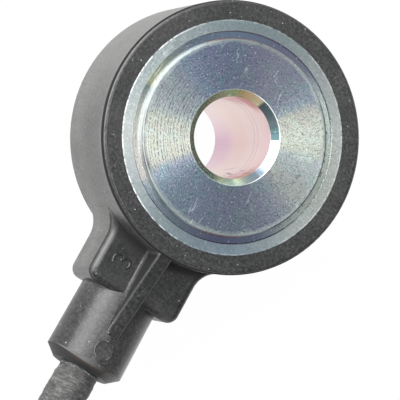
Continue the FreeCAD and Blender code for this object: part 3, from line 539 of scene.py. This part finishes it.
# Each row holds the clock where a fan starts, is full, fades and ends, and its share.
fans = 0.0
for start, full, fade, end, share in (
    (0.685, 0.705, 0.79, 0.83, 1.0),
    (0.78, 0.8, 0.86, 0.91, 0.5),
    (0.182, 0.2, 0.28, 0.31, 1.0),
    (0.28, 0.3, 0.36, 0.41, 0.5),
):
    fans = paint.most(
        fans, paint.both(paint.step(wavering, start, full), paint.step(wavering, end, fade), share)
    )
left_half = paint.between(wavering, 0.62, 0.9, 0.06)
cool = paint.shades(
    clouds, (0.3, "#a4c4c8"), (0.42, "#a9bac6"), (0.5, "#b0b4c8"), (0.58, "#a6b9c4"), (0.7, "#c0ced0")
)
warm = paint.shades(clouds, (0.35, "#c9d0ca"), (0.46, "#c9cbbf"), (0.54, "#c9c7bd"), (0.65, "#ccd0c4"))
pad = paint.blend(fans, cool, warm)
# The pad is made brighter or darker round the clock, as painted reflection of the lamps, with some of the
# film's tint.
pad = gained(
    paint,
    clock,
    pad,
    (0.0, (0.86, 0.9, 1.05)), (0.045, (1.05, 1.0, 1.08)), (0.09, (1.25, 1.2, 1.2)),
    (0.18, (0.92, 0.92, 0.92)), (0.25, (1.24, 1.32, 1.3)), (0.33, (1.3, 1.38, 1.3)),
    (0.375, (1.3, 1.26, 1.15)), (0.42, (1.02, 1.04, 1.0)), (0.46, (0.88, 0.86, 0.9)),
    (0.54, (0.88, 0.92, 0.98)), (0.61, (0.95, 1.05, 1.1)), (0.66, (0.78, 0.86, 0.88)),
    (0.71, (1.1, 1.1, 1.08)), (0.8, (1.14, 1.2, 1.18)), (0.93, (0.8, 0.85, 1.0)),
    (1.0, (0.86, 0.9, 1.05)),
)

# The pad's rim is paler than the rest of it, and made brighter or darker round the clock in its own way, as
# painted reflection.
rim = paint.step(paint.more(clouds, 0.8, radius), PAD_OUT - 0.2, PAD_OUT + 0.15)
rim_shade = paint.blend(fans, colour("#c4cccc"), colour("#8c9090"))
RIM_RIGHT = ((0.0, 1.2), (0.1, 1.1), (0.17, 0.86), (0.25, 1.0), (0.37, 0.74), (0.43, 0.95))
RIM_LEFT = (
    (0.5, 1.03), (0.56, 1.24), (0.62, 1.0), (0.67, 0.66),
    (0.75, 0.56), (0.8, 0.8), (0.93, 0.95), (1.0, 1.2),
)
rim_shade = gained(
    paint,
    clock,
    rim_shade,
    *[(at, (v, 1.05 * v, 1.04 * v)) for at, v in RIM_RIGHT],
    *[(at, (v, 1.07 * v, 1.06 * v)) for at, v in RIM_LEFT],
)
pad = paint.blend(rim, pad, rim_shade)
# The band and the mouth take their colours round the clock from the film and from painted reflections of the
# lamps: their palest stretches are painted highlights.
bands = paint.shades(
    clock,
    (0.0, "#a2b8d0"), (0.08, "#9ca6c4"), (0.14, "#aeb5c5"), (0.2, "#ecfbf5"), (0.26, "#e4f3e7"),
    (0.32, "#e0ebdf"), (0.39, "#dce8e0"), (0.46, "#8a96af"), (0.53, "#7f83a2"), (0.6, "#99a8b6"),
    (0.67, "#bbcbd5"), (0.69, "#e3dfda"), (0.8, "#d5d9d1"), (0.83, "#a6b2b2"), (0.84, "#dfe4c6"),
    (0.885, "#b7c0b9"), (0.93, "#96a6b8"), (1.0, "#a2b8d0"),
)
mouth = paint.shades(
    clock,
    (0.0, "#bbd6a6"), (0.035, "#dbc993"), (0.045, "#f6d1a1"), (0.11, "#fff2c8"), (0.119, "#6c7b82"),
    (0.17, "#8c9fa5"), (0.2, "#a9bfc3"), (0.2235, "#8bb7bb"), (0.268, "#f2f0e6"), (0.32, "#eeeee8"),
    (0.35, "#c2c6c8"), (0.4, "#8593a1"), (0.418, "#94a5b7"), (0.455, "#98acb0"), (0.5, "#c9e6db"),
    (0.55, "#cfe8c5"), (0.585, "#709283"), (0.76, "#76a28b"), (0.88, "#81a089"), (0.95, "#9aa98e"),
    (1.0, "#bbd6a6"),
)

# The white in the middle of the mouth's right side is a painted reflection of the lamp, and beside it the
# mouth is painted dark, as painted shade.
lit = paint.both(paint.step(clock, 0.258, 0.268), paint.step(clock, 0.392, 0.345))
shaded_beside_lamp = paint.both(paint.step(clock, 0.218, 0.233), paint.step(clock, 0.407, 0.394), paint.without(lit))
mouth = paint.blend(
    paint.both(shaded_beside_lamp, 0.97), mouth, paint.shades(clock, (0.27, "#30464a"), (0.37, "#56626c"))
)

# Land: the flange's face outside the band, with pale specks. Its colour round the clock is partly painted
# reflection of the lamps.
lands = paint.shades(
    clock,
    (0.0, "#b8ccd0"), (0.1, "#b3c3c4"), (0.18, "#a8aead"), (0.27, "#8f948f"), (0.34, "#919691"),
    (0.41, "#a4adab"), (0.52, "#adc4d2"), (0.62, "#b2c3c7"), (0.7, "#b3bbbc"), (0.75, "#a6aba8"),
    (0.85, "#8f9a9b"), (0.92, "#9aa6a7"), (1.0, "#b8ccd0"),
)
land_specks = paint.more(paint.between(clock, 0.15, 0.45), -0.25, 0.4)
lands = paint.tint(lands, paint.both(paint.step(coarse_grit, 0.5, 0.7), land_specks), "#dfe5e5")

# Bore: rose film with a straw stripe part of the way down.
depth = paint.sums("DIVIDE", paint.more(clouds, 4.0, level), 19.0)
FILM = [
    (0.05, "#ecd0e1"), (0.2, "#edd2da"), (0.36, "#eed2cc"), (0.5, "#ebcdc9"),
    (0.66, "#edd5d3"), (0.82, "#efd8d8"), (0.95, "#eed3d8"),
]
bore = paint.ramp(depth, [(at, colour(text)) for at, text in FILM])

# The film is a deeper rose near the bore's lower end, and paler towards the top and bottom.
deep = paint.both(paint.step(level, 7.0, 3.5), paint.between(clock, 0.21, 0.38, 0.04))
bore = paint.tint(bore, deep, "#dfbacc")
paler = paint.sums("SUBTRACT", 0.5, paint.both(paint.between(clock, 0.2, 0.34, 0.07), 0.5))
bore = paint.tint(bore, paler, "#fbeee8")

# Its lips are browner above and below, two turned steps show as thin dark lines, and bolts have left
# slanting scores low down, which are drawn on the wall as if it were unrolled.
lips = paint.both(
    paint.step(level, 13.8, 14.4),
    paint.most(paint.between(clock, 0.02, 0.13, 0.02), paint.between(clock, 0.4, 0.5, 0.02)),
)
bore = paint.tint(bore, lips, "#dcb2a6")
seams = paint.most(paint.between(level, 11.5, 11.56, 0.04), paint.between(level, 12.5, 12.56, 0.04))
bore = paint.tint(bore, paint.both(seams, 0.7), "#94807c")
BORE_ROUND = 26.4
unrolled = paint.joined((0, paint.both(clock, BORE_ROUND)), (1, level))
slanted = paint.laid(unrolled, 0.9, (2.6, 0.35, 1.0))
scored = paint.waves(slanted, 1.0, 3.0)
scored = paint.both(
    paint.step(scored, 0.57, 0.63), paint.between(clock, 0.39, 0.6, 0.02), paint.step(level, 6.5, 8.0)
)
bore = paint.tint(bore, paint.both(scored, 0.7), "#8a7b74")

# The zones are laid over one another, from the land inwards.
shade = paint.blend(in_pad, lands, pad)
shade = paint.blend(in_band, shade, bands)
shade = paint.blend(in_mouth, shade, mouth)
shade = paint.blend(in_bore, shade, bore)

# Tool rings are fine and broken, and are painted dark as painted shade in their grooves, mostly on the left,
# where the fan is lit.
grooved = paint.both(left_half, paint.step(wavering, 0.66, 0.7))
broken = paint.step(paint.grain(place, 2.4, 3.0, 0.7), 0.42, 0.58)
shaded_cuts = paint.both(
    paint.step(lathe["Rings"], 0.55, 0.95),
    broken,
    in_pad,
    paint.step(radius, PAD_OUT - 0.35, PAD_OUT - 0.65),
    paint.more(grooved, 0.65, 0.05),
)
shade = paint.tint(shade, shaded_cuts, "#46525e")

# A fine pitting all over the pad, dark and light.
pitted = paint.most(in_pad, paint.both(on_land, 0.5), paint.both(in_band, 0.25))
pitted = paint.both(pitted, paint.more(paint.both(fans, left_half), -0.5, 1.0))
shade = paint.tint(
    shade,
    paint.both(paint.step(grit, 0.47, 0.3), pitted, paint.step(coarse_grit, 0.62, 0.4), 0.85),
    "#465262",
)
shade = paint.tint(shade, paint.both(paint.step(grit, 0.56, 0.74), pitted, 0.65), "#e6eaec")
pecks = paint.both(
    paint.step(paint.grain(place, 3.1, 2.0, 0.7, 1.2), 0.6, 0.66),
    paint.between(clock, 0.18, 0.42, 0.03),
    in_pad,
    0.6,
)
shade = paint.tint(shade, pecks, "#5c6a70")

# Burrs and edges carry painted white highlights, strongest where they face the lamps, and scratches and
# specks of dust are pale; all of these scatter the light.
nicks = paint.step(paint.grain(place, 1.9, 4.0, 0.8), 0.42, 0.55)
outer_burr = paint.both(
    paint.between(radius, LAND_OUT - 0.13, LAND_OUT + 0.1, 0.03),
    paint.more(paint.between(clock, 0.62, 0.93, 0.05), 0.65, 0.25),
    nicks,
)
land_lip = paint.both(
    paint.between(radius, BAND_OUT - 0.03, BAND_OUT + 0.02, 0.02),
    paint.more(paint.step(clock, 0.75, 0.8), 0.25, 0.1),
)

# On the left the pad's rounded edge and its low side wall show as two thin white lines of painted highlight.
steep = paint.step(paint.sums("ABSOLUTE", nose), 0.6, 0.4)
pad_side = paint.both(steep, paint.between(radius, PAD_OUT - 0.1, PAD_OUT + 0.1), 0.3)
pad_lip = paint.most(paint.between(radius, PAD_OUT - 0.21, PAD_OUT - 0.16, 0.02), pad_side)
pad_lip = paint.both(pad_lip, paint.between(clock, 0.66, 0.955, 0.03), 0.9)
# The mouth's lip, brightest on the right, and the band's outer wall on the right carry painted highlights.
mouth_lip = paint.both(
    paint.between(radius, MOUTH_OUT - 0.04, MOUTH_OUT + 0.04, 0.02),
    paint.more(paint.between(clock, 0.08, 0.44, 0.02), 0.6, 0.3),
)
band_wall = paint.both(
    steep,
    paint.between(radius, BAND_OUT - 0.18, BAND_OUT + 0.12),
    paint.between(clock, 0.02, 0.3, 0.03),
    0.75,
)
edge_highlights = paint.most(outer_burr, land_lip, pad_lip, mouth_lip, band_wall)
bruised = paint.step(paint.grain(place, 0.25, 2.0, 0.5), 0.48, 0.66)
specks_and_highlights = paint.most(paint.both(lathe["Specks"], 0.6), paint.both(lathe["Scratches"], bruised, 0.5))
specks_and_highlights = paint.most(paint.both(specks_and_highlights, paint.without(in_bore)), edge_highlights)

# The land's outer corner is dark between the burrs, and the pad's side wall at its foot on the left is
# painted dark, as painted shade.
between_burrs = paint.both(
    paint.between(radius, LAND_OUT - 0.05, LAND_OUT + 0.15, 0.02), paint.without(nicks), 0.7
)
foot_shade = paint.both(
    steep,
    paint.between(radius, PAD_OUT - 0.15, PAD_OUT + 0.15),
    paint.step(level, FACE + 0.35, FACE + 0.25),
    paint.between(clock, 0.62, 0.97),
    0.6,
)
shade = paint.tint(shade, paint.most(between_burrs, foot_shade), "#596164")
shade = paint.tint(shade, specks_and_highlights, "#f6f8f8")

# On the right the pad's edge turns away from the lamp, and shows as a dark line.
right_lip = paint.both(
    paint.between(radius, PAD_OUT - 0.17, PAD_OUT + 0.03, 0.02),
    paint.between(clock, 0.12, 0.46, 0.03),
    paint.more(paint.step(clock, 0.17, 0.23), 0.55, 0.4),
)
shade = paint.tint(shade, right_lip, "#101416")

# Dark pits break up the band's inner edge beyond it.
eaten = paint.both(
    paint.between(radius, PAD_OUT, PAD_OUT + 0.35, 0.05),
    paint.between(clock, 0.2, 0.45, 0.03),
    paint.step(coarse_grit, 0.54, 0.62),
    0.6,
)
shade = paint.tint(shade, eaten, "#2c3638")

# At the top and bottom the pad's edge is brown.
sides = paint.most(paint.between(clock, 0.13, 0.47, 0.02), paint.between(clock, 0.56, 0.955, 0.02))
brown = paint.both(paint.between(radius, PAD_OUT - 0.1, PAD_OUT + 0.01, 0.03), paint.without(sides), 0.8)
shade = paint.tint(shade, brown, "#b07a72")

# The land and the pad's rim are duller than the pad, and the band and mouth are brighter.
rough = paint.more(on_land, 0.2, 0.2)
rough = paint.more(paint.most(in_band, in_mouth), -0.06, rough)
rough = paint.more(paint.both(rim, in_pad), 0.14, rough)
rough = paint.more(right_lip, 0.7, paint.more(grit, 0.1, rough))
ringed = paint.both(lathe["Rings"], in_pad, paint.more(grooved, 0.7, 0.3))
height = paint.sums("ADD", paint.both(ringed, -0.28), paint.both(lathe["Scratches"], -0.3))
height = paint.more(coarse_grit, 0.5, height)
paint.finish(
    Base_Color=shade,
    Metallic=paint.sums("SUBTRACT", paint.more(specks_and_highlights, -0.8, 1.0), right_lip, clamp=True),
    Roughness=rough,
    Anisotropic=0.85,
    Anisotropic_Rotation=0.25,
    Tangent=paint.put("ShaderNodeTangent", direction_type="RADIAL", axis="Z").outputs[0],
    Normal=paint.bump(height, 0.006, 0.7),
)
dress({"sleeve": "passivated_steel"})


# Stack inside the moulding: brass contact discs, a ground piezo ring, film washers, a turned mass
# with its disc spring and nut, and the resistor. None of it shows once the housing is moulded.
def plain_finish(name, dark, light, roughness, metallic=0.0):
    """A finish with soft clouds of two near shades and a fine grain."""
    paint, place = material(name)
    clouds = paint.grain(place, 1.2, 4.0, 0.6)
    paint.finish(
        Base_Color=paint.clouded(clouds, dark, light),
        Metallic=metallic,
        Roughness=paint.more(clouds, 0.12, roughness - 0.06),
        Normal=paint.bump(paint.grain(place, 7.2, 2.0), 0.01),
    )


plain_finish("brass_strip", "#a8803a", "#c29a50", 0.32, 1.0)
plain_finish("piezo_ceramic", "#a8967c", "#bfae94", 0.6)
plain_finish("insulating_film", "#a3681f", "#bd7f35", 0.35)
paint, place = material("bright_steel")
lathe = paint.use("turned_rings", place=place, pitch=0.3)
shade = paint.clouded(lathe["Clouds"], "#7f8284", "#9a9da0")
shade = paint.tint(shade, paint.both(paint.step(lathe["Rings"], 0.5, 0.62), 0.4), "#5c6062")
paint.finish(
    Base_Color=shade,
    Metallic=1.0,
    Roughness=paint.more(lathe["Clouds"], 0.12, 0.28),
    Normal=paint.bump(lathe["Rings"], 0.01),
)
plain_finish("chip_ceramic", "#d6d6d0", "#ecece6", 0.5)
plain_finish("core_insulation", "#7f221c", "#9a3028", 0.35)
plain_finish("core_insulation_dark", "#191c22", "#2b303a", 0.35)
dress({
    "insulating_tube": "insulating_film",
    "flange_insulator": "insulating_film",
    "mass_insulator": "insulating_film",
    "flange_contact": "brass_strip",
    "mass_contact": "brass_strip",
    "piezo_ring": "piezo_ceramic",
    "seismic_mass": "bright_steel",
    "disc_spring": "bright_steel",
    "clamp_nut": "bright_steel",
    "bleed_resistor": "chip_ceramic",
    "signal_core": "core_insulation",
    "return_core": "core_insulation_dark",
})


# Lead: a thin heat-shrunk sleeve over two cores, crinkled across. It leaves the tail straight, sinks
# to the surface and lies in one turn that closes in on the connector.
LEAD_WIDE = 4.4
TURN_CENTRE = Vector((23.5, -52.0, 0.0))
TURN_SIDES = 12
TURN_APOTHEM = 23.0
CURL_CENTRE = TURN_CENTRE + Vector((8.3, 7.0, 0.0))
CURL_SIDES = 10
CURL_APOTHEM = 14.7
LAID_LEVEL = 2.25
LEAD_GRIP = 8.0
STRAIGHT_RUN = 7.4
LAST_RUN = 9.5
turn_radius = TURN_APOTHEM / math.cos(math.pi / TURN_SIDES)
curl_radius = CURL_APOTHEM / math.cos(math.pi / CURL_SIDES)

# The route's points are those of the CAD model.
route = [
    Vector((0, LEAD_GRIP - TAIL_END, TAIL_LEVEL)),
    Vector((0, -TAIL_END - STRAIGHT_RUN, TAIL_LEVEL)),
    Vector((1.0, -48.5, 5.2)),
]
for k, high in enumerate([2.9] + [LAID_LEVEL] * 5):
    swing = math.pi + (2 * k + 1) * math.pi / TURN_SIDES
    route.append(TURN_CENTRE + Vector((turn_radius * math.cos(swing), turn_radius * math.sin(swing), high)))
for k, high in enumerate((LAID_LEVEL, 2.4, 3.1, 4.2, 4.7)):
    swing = (2 * k + 1) * math.pi / CURL_SIDES
    route.append(CURL_CENTRE + Vector((curl_radius * math.cos(swing), curl_radius * math.sin(swing), high)))
route.append(route[-1] - Vector((0, LAST_RUN, 0)))
line = bpy.data.curves.new("lead_line", "CURVE")
line.dimensions = "3D"
spline = line.splines.new("NURBS")
spline.points.add(len(route) - 1)
for point, at in zip(spline.points, route):
    point.co = (*(at * MM), 1.0)
spline.order_u = 3
spline.use_endpoint_u = True
spline.resolution_u = 24
carrier = bpy.data.objects.new("lead_line", line)
bpy.context.collection.objects.link(carrier)
sampled = bpy.data.meshes.new_from_object(carrier)
walk = [v.co.copy() for v in sampled.vertices]
bpy.data.objects.remove(carrier)

# The points of the walk are spaced evenly, so that the crinkles keep their size along the lead.
RING_STEP = 0.22
AROUND = 48
gone = [0.0]
for a, b in zip(walk, walk[1:]):
    gone.append(gone[-1] + (b - a).length)
lead_length = gone[-1]
count = round(lead_length / (RING_STEP * MM))
centres = []
k = 0
for i in range(count + 1):
    want = lead_length * i / count
    while k < len(gone) - 2 and gone[k + 1] < want:
        k += 1
    share = (want - gone[k]) / (gone[k + 1] - gone[k])
    centres.append(walk[k].lerp(walk[k + 1], share))

shell = bmesh.new()
loops = []
side = Vector((1, 0, 0))
for i, centre in enumerate(centres):
    ahead = (centres[min(i + 1, count)] - centres[max(i - 1, 0)]).normalized()
    side = (side - ahead * side.dot(ahead)).normalized()
    over = ahead.cross(side)
    run = i * RING_STEP
    loop = []
    for j in range(AROUND):
        turn = math.tau * j / AROUND
        c, s = math.cos(turn), math.sin(turn)
        out = side * c + over * s
        # Long swells, crosswise ridges, shorter folds and a fine crumple, as shares of the radius.
        swell = noise.noise(Vector((run * 0.42, c * 0.55, s * 0.55 + 7)))
        ridge = 1 - abs(noise.noise(Vector((run * 0.8 + 1.2 * s, c * 0.9, 3.1)))) * 2
        fold = 1 - abs(noise.noise(Vector((run * 2.1 - 0.9 * c, s * 1.3, 9.4)))) * 2
        crumple = noise.noise((centre / MM + out * LEAD_WIDE / 2) * 3.0)
        reach = LEAD_WIDE / 2 * (0.965 + 0.05 * swell + 0.05 * ridge**3 + 0.02 * fold**3 + 0.012 * crumple)
        loop.append(shell.verts.new(centre + out * reach * MM))
    loops.append(loop)
for near_loop, far_loop in zip(loops, loops[1:]):
    for j in range(AROUND):
        n = (j + 1) % AROUND
        shell.faces.new((near_loop[j], near_loop[n], far_loop[n], far_loop[j]))
shell.faces.new(list(reversed(loops[0])))
shell.faces.new(loops[-1])
bmesh.ops.recalc_face_normals(shell, faces=shell.faces)
lead_mesh = bpy.data.meshes.new("lead")
shell.to_mesh(lead_mesh)
shell.free()
for polygon in lead_mesh.polygons:
    polygon.use_smooth = True
lead = bpy.data.objects.new("lead", lead_mesh)
bpy.context.collection.objects.link(lead)

paint, place = material("lead_sleeve")
mottle = paint.grain(place, 1.0, 4.0, 0.7, 0.6)

# The wrinkles run round the lead, so they are squeezed along its first run, and are crisp and fine.
squeezed = paint.laid(place, 0.0, (0.3, 1.15, 0.3))
wrinkles = paint.grain(squeezed, 4.2, 3.0, 0.7, 0.6)
crisp = paint.grain(place, 6.5, 3.0, 0.7, 1.0)
tone = paint.more(crisp, 0.25, paint.more(wrinkles, 0.5, paint.both(mottle, 0.25)))
tone = paint.ramp(tone, [(0.4, colour("#262626")), (0.52, colour("#4a4a49")), (0.64, colour("#7c7b78"))])
lint = paint.step(crisp, 0.66, 0.76)
tone = paint.tint(tone, paint.both(lint, 0.5), "#c4c4c0")

# A pale line rings the lead where it leaves the tail.
down_lead = paint.parts(place)[1]
start = paint.both(
    paint.between(down_lead, (-TAIL_END - 0.26) * MM, (-TAIL_END - 0.12) * MM, 0.04 * MM),
    paint.step(crisp, 0.47, 0.58),
)
tone = paint.tint(tone, paint.both(start, 0.55), "#bcc6c8")
paint.finish(
    Base_Color=tone,
    Roughness=paint.more(mottle, 0.2, 0.38),
    Normal=paint.bump(wrinkles, 0.16, 0.8, paint.bump(crisp, 0.06, 0.6)),
    IOR=1.5,
)
wear(lead_mesh, "lead_sleeve")
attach(lead, "root")
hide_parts("cable")


# Connector at the lead's far end: a black housing and rear cap, an orange silicone wire seal, a
# cream retainer and two tinned pins.
paint, place = material("connector_plastic")
texture = paint.use("eroded_grain", place=place, fineness=0.8)
base = paint.clouded(texture["Clouds"], "#1a1a1b", "#262627")
paint.finish(
    Base_Color=paint.tint(base, paint.both(texture["Glints"], 0.3), "#a0a2a4"),
    Roughness=paint.more(texture["Clouds"], 0.1, 0.42),
    Normal=paint.bump(texture["Height"], 0.02, 0.5),
    IOR=1.5,
)
plain_finish("seal_rubber", "#96462a", "#ad5a38", 0.5)
plain_finish("retainer_plastic", "#bdb7a6", "#cfcaba", 0.45)
plain_finish("tinned_pin", "#a9adb1", "#c3c6c9", 0.25, 1.0)
dress({
    "connector_housing": "connector_plastic",
    "connector_rear_cap": "connector_plastic",
    "wire_seal": "seal_rubber",
    "pin_retainer": "retainer_plastic",
    "signal_pin": "tinned_pin",
    "return_pin": "tinned_pin",
    "signal_core_end": "core_insulation",
    "return_core_end": "core_insulation_dark",
})


# Studio: a white table that the sensor lies on, a broad soft lamp low on its left, a smaller one
# overhead, and a plain grey room.
TABLE_WIDE = 3.0
table_mesh = bpy.data.meshes.new("table")
reach = TABLE_WIDE / 2
table_mesh.from_pydata(
    [(-reach, -reach, 0), (reach, -reach, 0), (reach, reach, 0), (-reach, reach, 0)], [], [(0, 1, 2, 3)]
)
table = bpy.data.objects.new("table", table_mesh)
table.location.z = -0.02 * MM
bpy.context.collection.objects.link(table)
paint, place = material("white_table")
paint.tree.nodes.remove(paint.end)
light = paint.put("ShaderNodeLightPath")
mirrored = paint.most(light.outputs["Is Glossy Ray"], light.outputs["Is Transmission Ray"])
seen = paint.most(light.outputs["Is Camera Ray"], mirrored)
glow = paint.put("ShaderNodeEmission", [("Color", colour("#ffffff")), ("Strength", 1.0)])
fibres = paint.clouded(paint.grain(place, 0.8, 3.0), "#f6f6f6", "#fafafa")
matte = paint.put("ShaderNodeBsdfDiffuse", [("Color", fibres)])
share = paint.both(seen, 0.985)
mixed = paint.put("ShaderNodeMixShader", [(0, share), (1, matte.outputs[0]), (2, glow.outputs[0])])
paint.plug(paint.tree.nodes["Material Output"].inputs["Surface"], mixed.outputs[0])
wear(table_mesh, "white_table")

room = bpy.data.worlds.new("grey_room")
room.use_nodes = True
bpy.context.scene.world = room
paint = Nodes(room.node_tree, room.node_tree.nodes["Background"])
way = paint.put("ShaderNodeTexCoord").outputs["Generated"]
rising = paint.parts(way)[2]
sky = paint.ramp(rising, [(0.0, colour("#b4b4b4")), (0.3, colour("#a2a3a5")), (1.0, colour("#9fa0a3"))])

# The white sweep rises behind the far side of the table.
sweep = paint.both(
    paint.step(paint.dot(way, (-0.163, 0.987, 0.0)), 0.45, 0.8), paint.step(rising, 0.35, 0.15)
)
paint.finish(Color=paint.tint(sky, sweep, "#f4f4f4"))


def lamp(name, heading, elevation, distance, wide, tall, radiance):
    """A soft lamp in the direction of a heading, from +X towards +Y, turned towards the face."""
    data = bpy.data.lights.new(name, "AREA")
    data.shape = "RECTANGLE"
    data.size = wide
    data.size_y = tall
    data.energy = radiance * math.pi * wide * tall
    made = bpy.data.objects.new(name, data)
    bpy.context.collection.objects.link(made)
    a, e = math.radians(heading), math.radians(elevation)
    away = Vector((math.cos(a) * math.cos(e), math.sin(a) * math.cos(e), math.sin(e)))
    place = Matrix.Translation(Vector((0, 0, FACE * MM)) + away * distance)
    made.matrix_world = place @ away.to_track_quat("Z", "Y").to_matrix().to_4x4()


lamp("side_softbox", 177.4, 30, 0.6, 0.94, 0.41, 5.4)
lamp("upper_softbox", 161, 59, 0.6, 0.8, 0.36, 2.9)
lamp("top_softbox", 247, 86.4, 0.7, 0.24, 0.24, 5.3)

# Camera: 350 mm in front of the sleeve's face, tipped 20.7 degrees to the side, with the tail down to
# the left.
CAMERA_AWAY = 350.0
TIP_SIDE, TIP_UP = 20.68, 0.34
AIM_SIDE, AIM_UP = -3.41, -6.38
camera_data = bpy.data.cameras.new("camera")
camera_data.sensor_width = 36.0
camera_data.lens = 308.4
camera_data.clip_start = 0.01
camera_data.clip_end = 20.0
camera = bpy.data.objects.new("camera", camera_data)
bpy.context.collection.objects.link(camera)
tip = Matrix.Rotation(math.radians(TIP_UP), 4, "X") @ Matrix.Rotation(math.radians(TIP_SIDE), 4, "Y")
camera.matrix_world = (
    Matrix.Translation((0, 0, FACE * MM))
    @ Matrix.Rotation(math.radians(PICTURE_TURN), 4, "Z")
    @ tip.inverted()
    @ Matrix.Translation(Vector((AIM_SIDE, AIM_UP, CAMERA_AWAY)) * MM)
)
bpy.context.scene.camera = camera
bpy.context.scene.view_settings.view_transform = "Standard"
